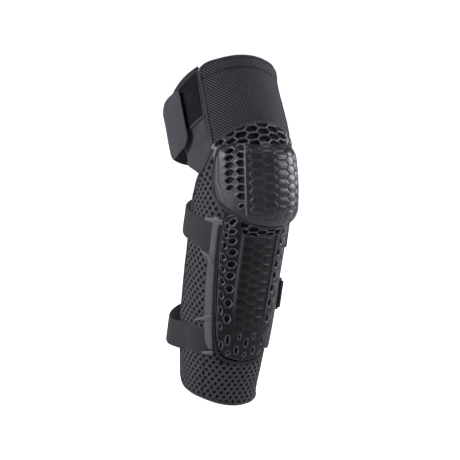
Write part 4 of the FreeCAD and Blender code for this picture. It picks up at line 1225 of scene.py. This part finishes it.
def beside_body(height):
    """Shin frame whose left front part leans with the body's side."""
    def to_scene(x, y, z):
        x, y, z = np.broadcast_arrays(x, y, z)
        follow = np.where(x < 0, ramp(0, 1, (42.0 - y) / 30.0), 0.0)
        angle = np.degrees(np.arctan2(x, -(y - FORM(height)[1])))
        lean = body_surface(z, angle) - body_surface(height, angle)
        return np.stack([x + follow * lean[..., 0], y + follow * lean[..., 1] + SHIFT_Y, z], -1)

    return to_scene


def hugging(height, angles, lift):
    """Plan points just off the body surface at one height."""
    angles = np.array(angles, float)
    points = body_surface(height, angles) + normals(body_surface, height, angles) * lift
    return [(x, y - SHIFT_Y) for x, y, z in points]


def alongside(path, places):
    """Plan points given as (distance back from the path's end, offset to its left)."""
    points = dense_curve(path, samples=1200)
    centre, normal, along = plan_line(points, run_length(points), 400)
    result = []
    for back, offset in places:
        k = int(np.argmin(np.abs(along - (along[-1] - back))))
        result.append(tuple(centre[k] + normal[k] * offset))
    return result


def calf_strap(name, stations, front_angles, back_path, tab_rise, tab_reach):
    """Strap and pull tab; stations are (fraction along, height of the middle)."""
    height = curve(stations)
    start, end = float(stations[0][1]), stations[-1][1]
    path = hugging(start, front_angles, lift=1.35) + back_path
    place(band(name + "_calf_webbing", path, lambda f: height(f) - HALF_STRAP,
               lambda f: height(f) + HALF_STRAP, 1.8, beside_body(start), WEBBING, pitch=1.8,
               wave=0.22),
          "shin", "webbing", name + "_calf_strap")

    def half_tall(f):
        return HALF_TAB - 3.5 * ramp(0.9, 1.0, f)

    tab_path = alongside(path, [(0, 4.8), (8, 4.7), (tab_reach * 0.35, 3.9),
                                (tab_reach * 0.65, 3.5), (tab_reach, 3.5)])
    place(band(name + "_pull_tab", tab_path, lambda f: end + tab_rise * f - half_tall(f),
               lambda f: end + tab_rise * f + half_tall(f), 2.2, shin_frame, WEBBING,
               pitch=1.5, edge_radius=1.0,
               relief=lambda inset: -0.35 * bell(inset - 3.0, 0.7)),
          name + "_tab", "webbing", name + "_strap_tab")


calf_strap("upper",
           stations=[(0, 54), (0.15, 55), (0.35, 59), (0.5, 62), (0.7, 61), (0.88, 57),
                     (1, 54)],
           front_angles=(-51, -57, -64, -72, -82, -93),
           back_path=[(-62.8, 42), (-48, 72), (-24, 88), (0, 93), (24, 88), (48, 72),
                      (64, 40), (67, 14), (67, -6.2)],
           tab_rise=5, tab_reach=64.0)
calf_strap("lower",
           stations=[(0, -93), (0.08, -94), (0.2, -100), (0.31, -104), (0.45, -97),
                     (0.65, -70), (0.85, -38), (1, -28)],
           front_angles=(-44, -50, -57, -66, -76, -87),
           back_path=[(-61.5, 27), (-61.5, 48), (-50, 77), (-26, 96), (0, 101), (26, 96),
                      (50, 77), (62.5, 46), (62.8, 14), (60.9, -8), (60.5, -22.2)],
           tab_rise=-9, tab_reach=70.0)


# ---------------------------------------------------------------- foam pads
def foam_pad(body, shrink, limit, voxel):
    """CAD pad remeshed, drawn in and swelled again; lengths in metres."""
    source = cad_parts[body + "_foam_pad"]
    mesh = source.data.copy()
    pad = add_object(body + "_foam", mesh)
    pad.matrix_world = source.matrix_world
    mesh.materials.clear()
    mesh.materials.append(FOAM)
    bpy.context.view_layer.objects.active = pad
    for other in bpy.context.selected_objects:
        other.select_set(False)
    pad.select_set(True)
    remesh = pad.modifiers.new("remesh", "REMESH")
    remesh.mode, remesh.voxel_size = "VOXEL", voxel
    bpy.ops.object.modifier_apply(modifier="remesh")
    mesh = pad.data
    points, normal = np.empty(len(mesh.vertices) * 3), np.empty(len(mesh.vertices) * 3)
    mesh.vertices.foreach_get("co", points)
    mesh.vertex_normals.foreach_get("vector", normal)
    mesh.vertices.foreach_set("co", points - normal * shrink)
    mesh.update()
    puff(pad, limit)
    smoothing = pad.modifiers.new("sub", "SUBSURF")
    smoothing.levels = smoothing.render_levels = 1
    bpy.ops.object.modifier_apply(modifier="sub")
    polygons = pad.data.polygons
    polygons.foreach_set("use_smooth", np.ones(len(polygons), bool))
    place(pad, body, "foam", body + "_foam_pad")


foam_pad("shin", shrink=0.0016, limit=0.0014, voxel=0.005)
foam_pad("knee", shrink=0.0014, limit=0.0012, voxel=0.0045)
foam_pad("thigh", shrink=0.0014, limit=0.0012, voxel=0.0045)


# ---------------------------------------------------------------- quilted linings
def quilted(base):
    """Face pressed in along the lines of a 22 by 34 mm grid."""
    def channel(along, pitch):
        distance = np.abs(np.mod(along / pitch + 0.5, 1) - 0.5) * pitch
        return bell(distance - pitch / 2, 1.3)

    return lambda x, y: base + 0.35 * (channel(x, 22.0) + channel(y, 34.0))


LINING_THICK = 1.2
knee_lining_top = -CUP_THICK - 0.8 - 13.0      # gap and foam under the cup
thigh_lining_top = CLOTH_BACK - 0.7 - 7.5      # gap and foam under the cloth
place(sheet("shin_lining", lining_cylinder, -138, 62, -75.0, 75.0, 1.5, 1.15, quilted(0.35),
            LINING, edge_radius=0.4, unroll=LINING_RADIUS),
      "shin", "lining", "shin_liner")
place(sheet("knee_lining", cup_surface,
            curve([(0, -20), (0.25, -36), (0.5, -44), (0.75, -36), (1, -20)]),
            curve([(0, 38), (0.5, 48), (1, 38)]), -56.0, 56.0, 1.5, knee_lining_top,
            quilted(knee_lining_top - LINING_THICK), LINING, edge_radius=0.4, unroll=70.0),
      "knee", "lining", "knee_liner")
place(sheet("thigh_lining", body_surface, lambda s: arch(s) + 9, lambda s: cuff_top(s) - 7,
            -47.0, 47.0, 1.6, thigh_lining_top, quilted(thigh_lining_top - LINING_THICK),
            LINING, edge_radius=0.4, unroll=THIGH_UNROLL),
      "thigh", "lining", "thigh_liner")

# ---------------------------------------------------------------- CAD parts that stay
for part, material in (("right_strap_ring", RAIL), ("strap_fold", WEBBING),
                       ("strap_hook_patch", HOOK)):
    for level in ("upper_", "lower_"):
        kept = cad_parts[level + part]
        if not kept.material_slots:
            kept.data.materials.append(material)
        for slot in kept.material_slots:
            slot.material = material

# ---------------------------------------------------------------- camera and lights (m)
VIEW_WIDTH = 0.6348                 # width seen at the target
CAMERA_DISTANCE = 3.2
view_right = Vector((0.875, -0.467, 0.132)).normalized()
view_up = Vector((0.0, 0.272, 0.962)).normalized()
view_back = view_right.cross(view_up).normalized()     # from the target to the camera
view_up = view_back.cross(view_right).normalized()
target = view_right * (-0.0069) + view_up * 0.0552 + Vector((0, SHIFT_Y * 0.001, 0))

camera_data = bpy.data.cameras.new("camera")
camera_data.sensor_width = 36.0
camera_data.lens = camera_data.sensor_width * CAMERA_DISTANCE / VIEW_WIDTH
camera_data.clip_end = 20
camera = add_object("camera", camera_data)
turn = Matrix((view_right, view_up, view_back)).transposed().to_4x4()
camera.matrix_world = Matrix.Translation(target + view_back * CAMERA_DISTANCE) @ turn
bpy.context.scene.camera = camera


def disk_light(name, back, right, up, size, power):
    """Disk light aimed at the target; its place is given along the view's axes."""
    data = bpy.data.lights.new(name, "AREA")
    data.shape, data.size, data.energy = "DISK", size, power
    data.color = (0.975, 0.965, 1.06)
    light = add_object(name, data)
    location = target + view_back * back + view_right * right + view_up * up
    light.location = location
    light.rotation_euler = (target - location).to_track_quat("-Z", "Y").to_euler()


disk_light("key", back=0.75, right=-1.75, up=0.75, size=0.9, power=31)
disk_light("top", back=0.35, right=0.5, up=1.6, size=0.5, power=5)
disk_light("fill", back=1.9, right=0.6, up=0.1, size=1.4, power=1.2)
disk_light("side", back=0.28, right=1.75, up=0.60, size=0.8, power=13)
disk_light("edge", back=-0.75, right=1.35, up=0.45, size=0.7, power=12)

# ---------------------------------------------------------------- floor and world
FLOOR_HALF, FLOOR_Z = 60.0, -0.190
floor_mesh = bpy.data.meshes.new("floor")
corners = [(x * FLOOR_HALF, y * FLOOR_HALF, 0) for x, y in ((-1, -1), (1, -1), (1, 1), (-1, 1))]
floor_mesh.from_pydata(corners, [], [(0, 1, 2, 3)])
# the floor glows for the camera only, so that it reads as near white
pale = Shader("pale_floor")
pale_color = pale.mix(pale.noise(3.0, detail=2.0), (0.90, 0.90, 0.90, 1.0),
                      (0.93, 0.93, 0.93, 1.0))
floor_mesh.materials.append(pale.finish(pale_color, 0.9, specular=0.1))
pale.surface.inputs["Emission Color"].default_value = (1, 1, 1, 1)
camera_ray = pale.node("ShaderNodeLightPath", "Is Camera Ray")
connect(pale.tree, pale.surface.inputs["Emission Strength"], camera_ray * 0.95)
floor = add_object("floor", floor_mesh)
floor.location = (0, 0, FLOOR_Z)
floor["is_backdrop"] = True

# white behind the guard for the camera, dim for everything else
world = bpy.context.scene.world or bpy.data.worlds.new("world")
bpy.context.scene.world = world
world.use_nodes = True
tree = world.node_tree
background = tree.nodes.get("Background") or tree.nodes.new("ShaderNodeBackground")
background.inputs[0].default_value = (1, 1, 1, 1)
light_path = tree.nodes.new("ShaderNodeLightPath")
strength = tree.nodes.new("ShaderNodeMapRange")
tree.links.new(light_path.outputs["Is Camera Ray"], strength.inputs["Value"])
strength.inputs["To Min"].default_value = 0.075
strength.inputs["To Max"].default_value = 1.0
tree.links.new(strength.outputs["Result"], background.inputs[1])
bpy.context.scene.view_settings.view_transform = "Standard"

low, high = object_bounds()
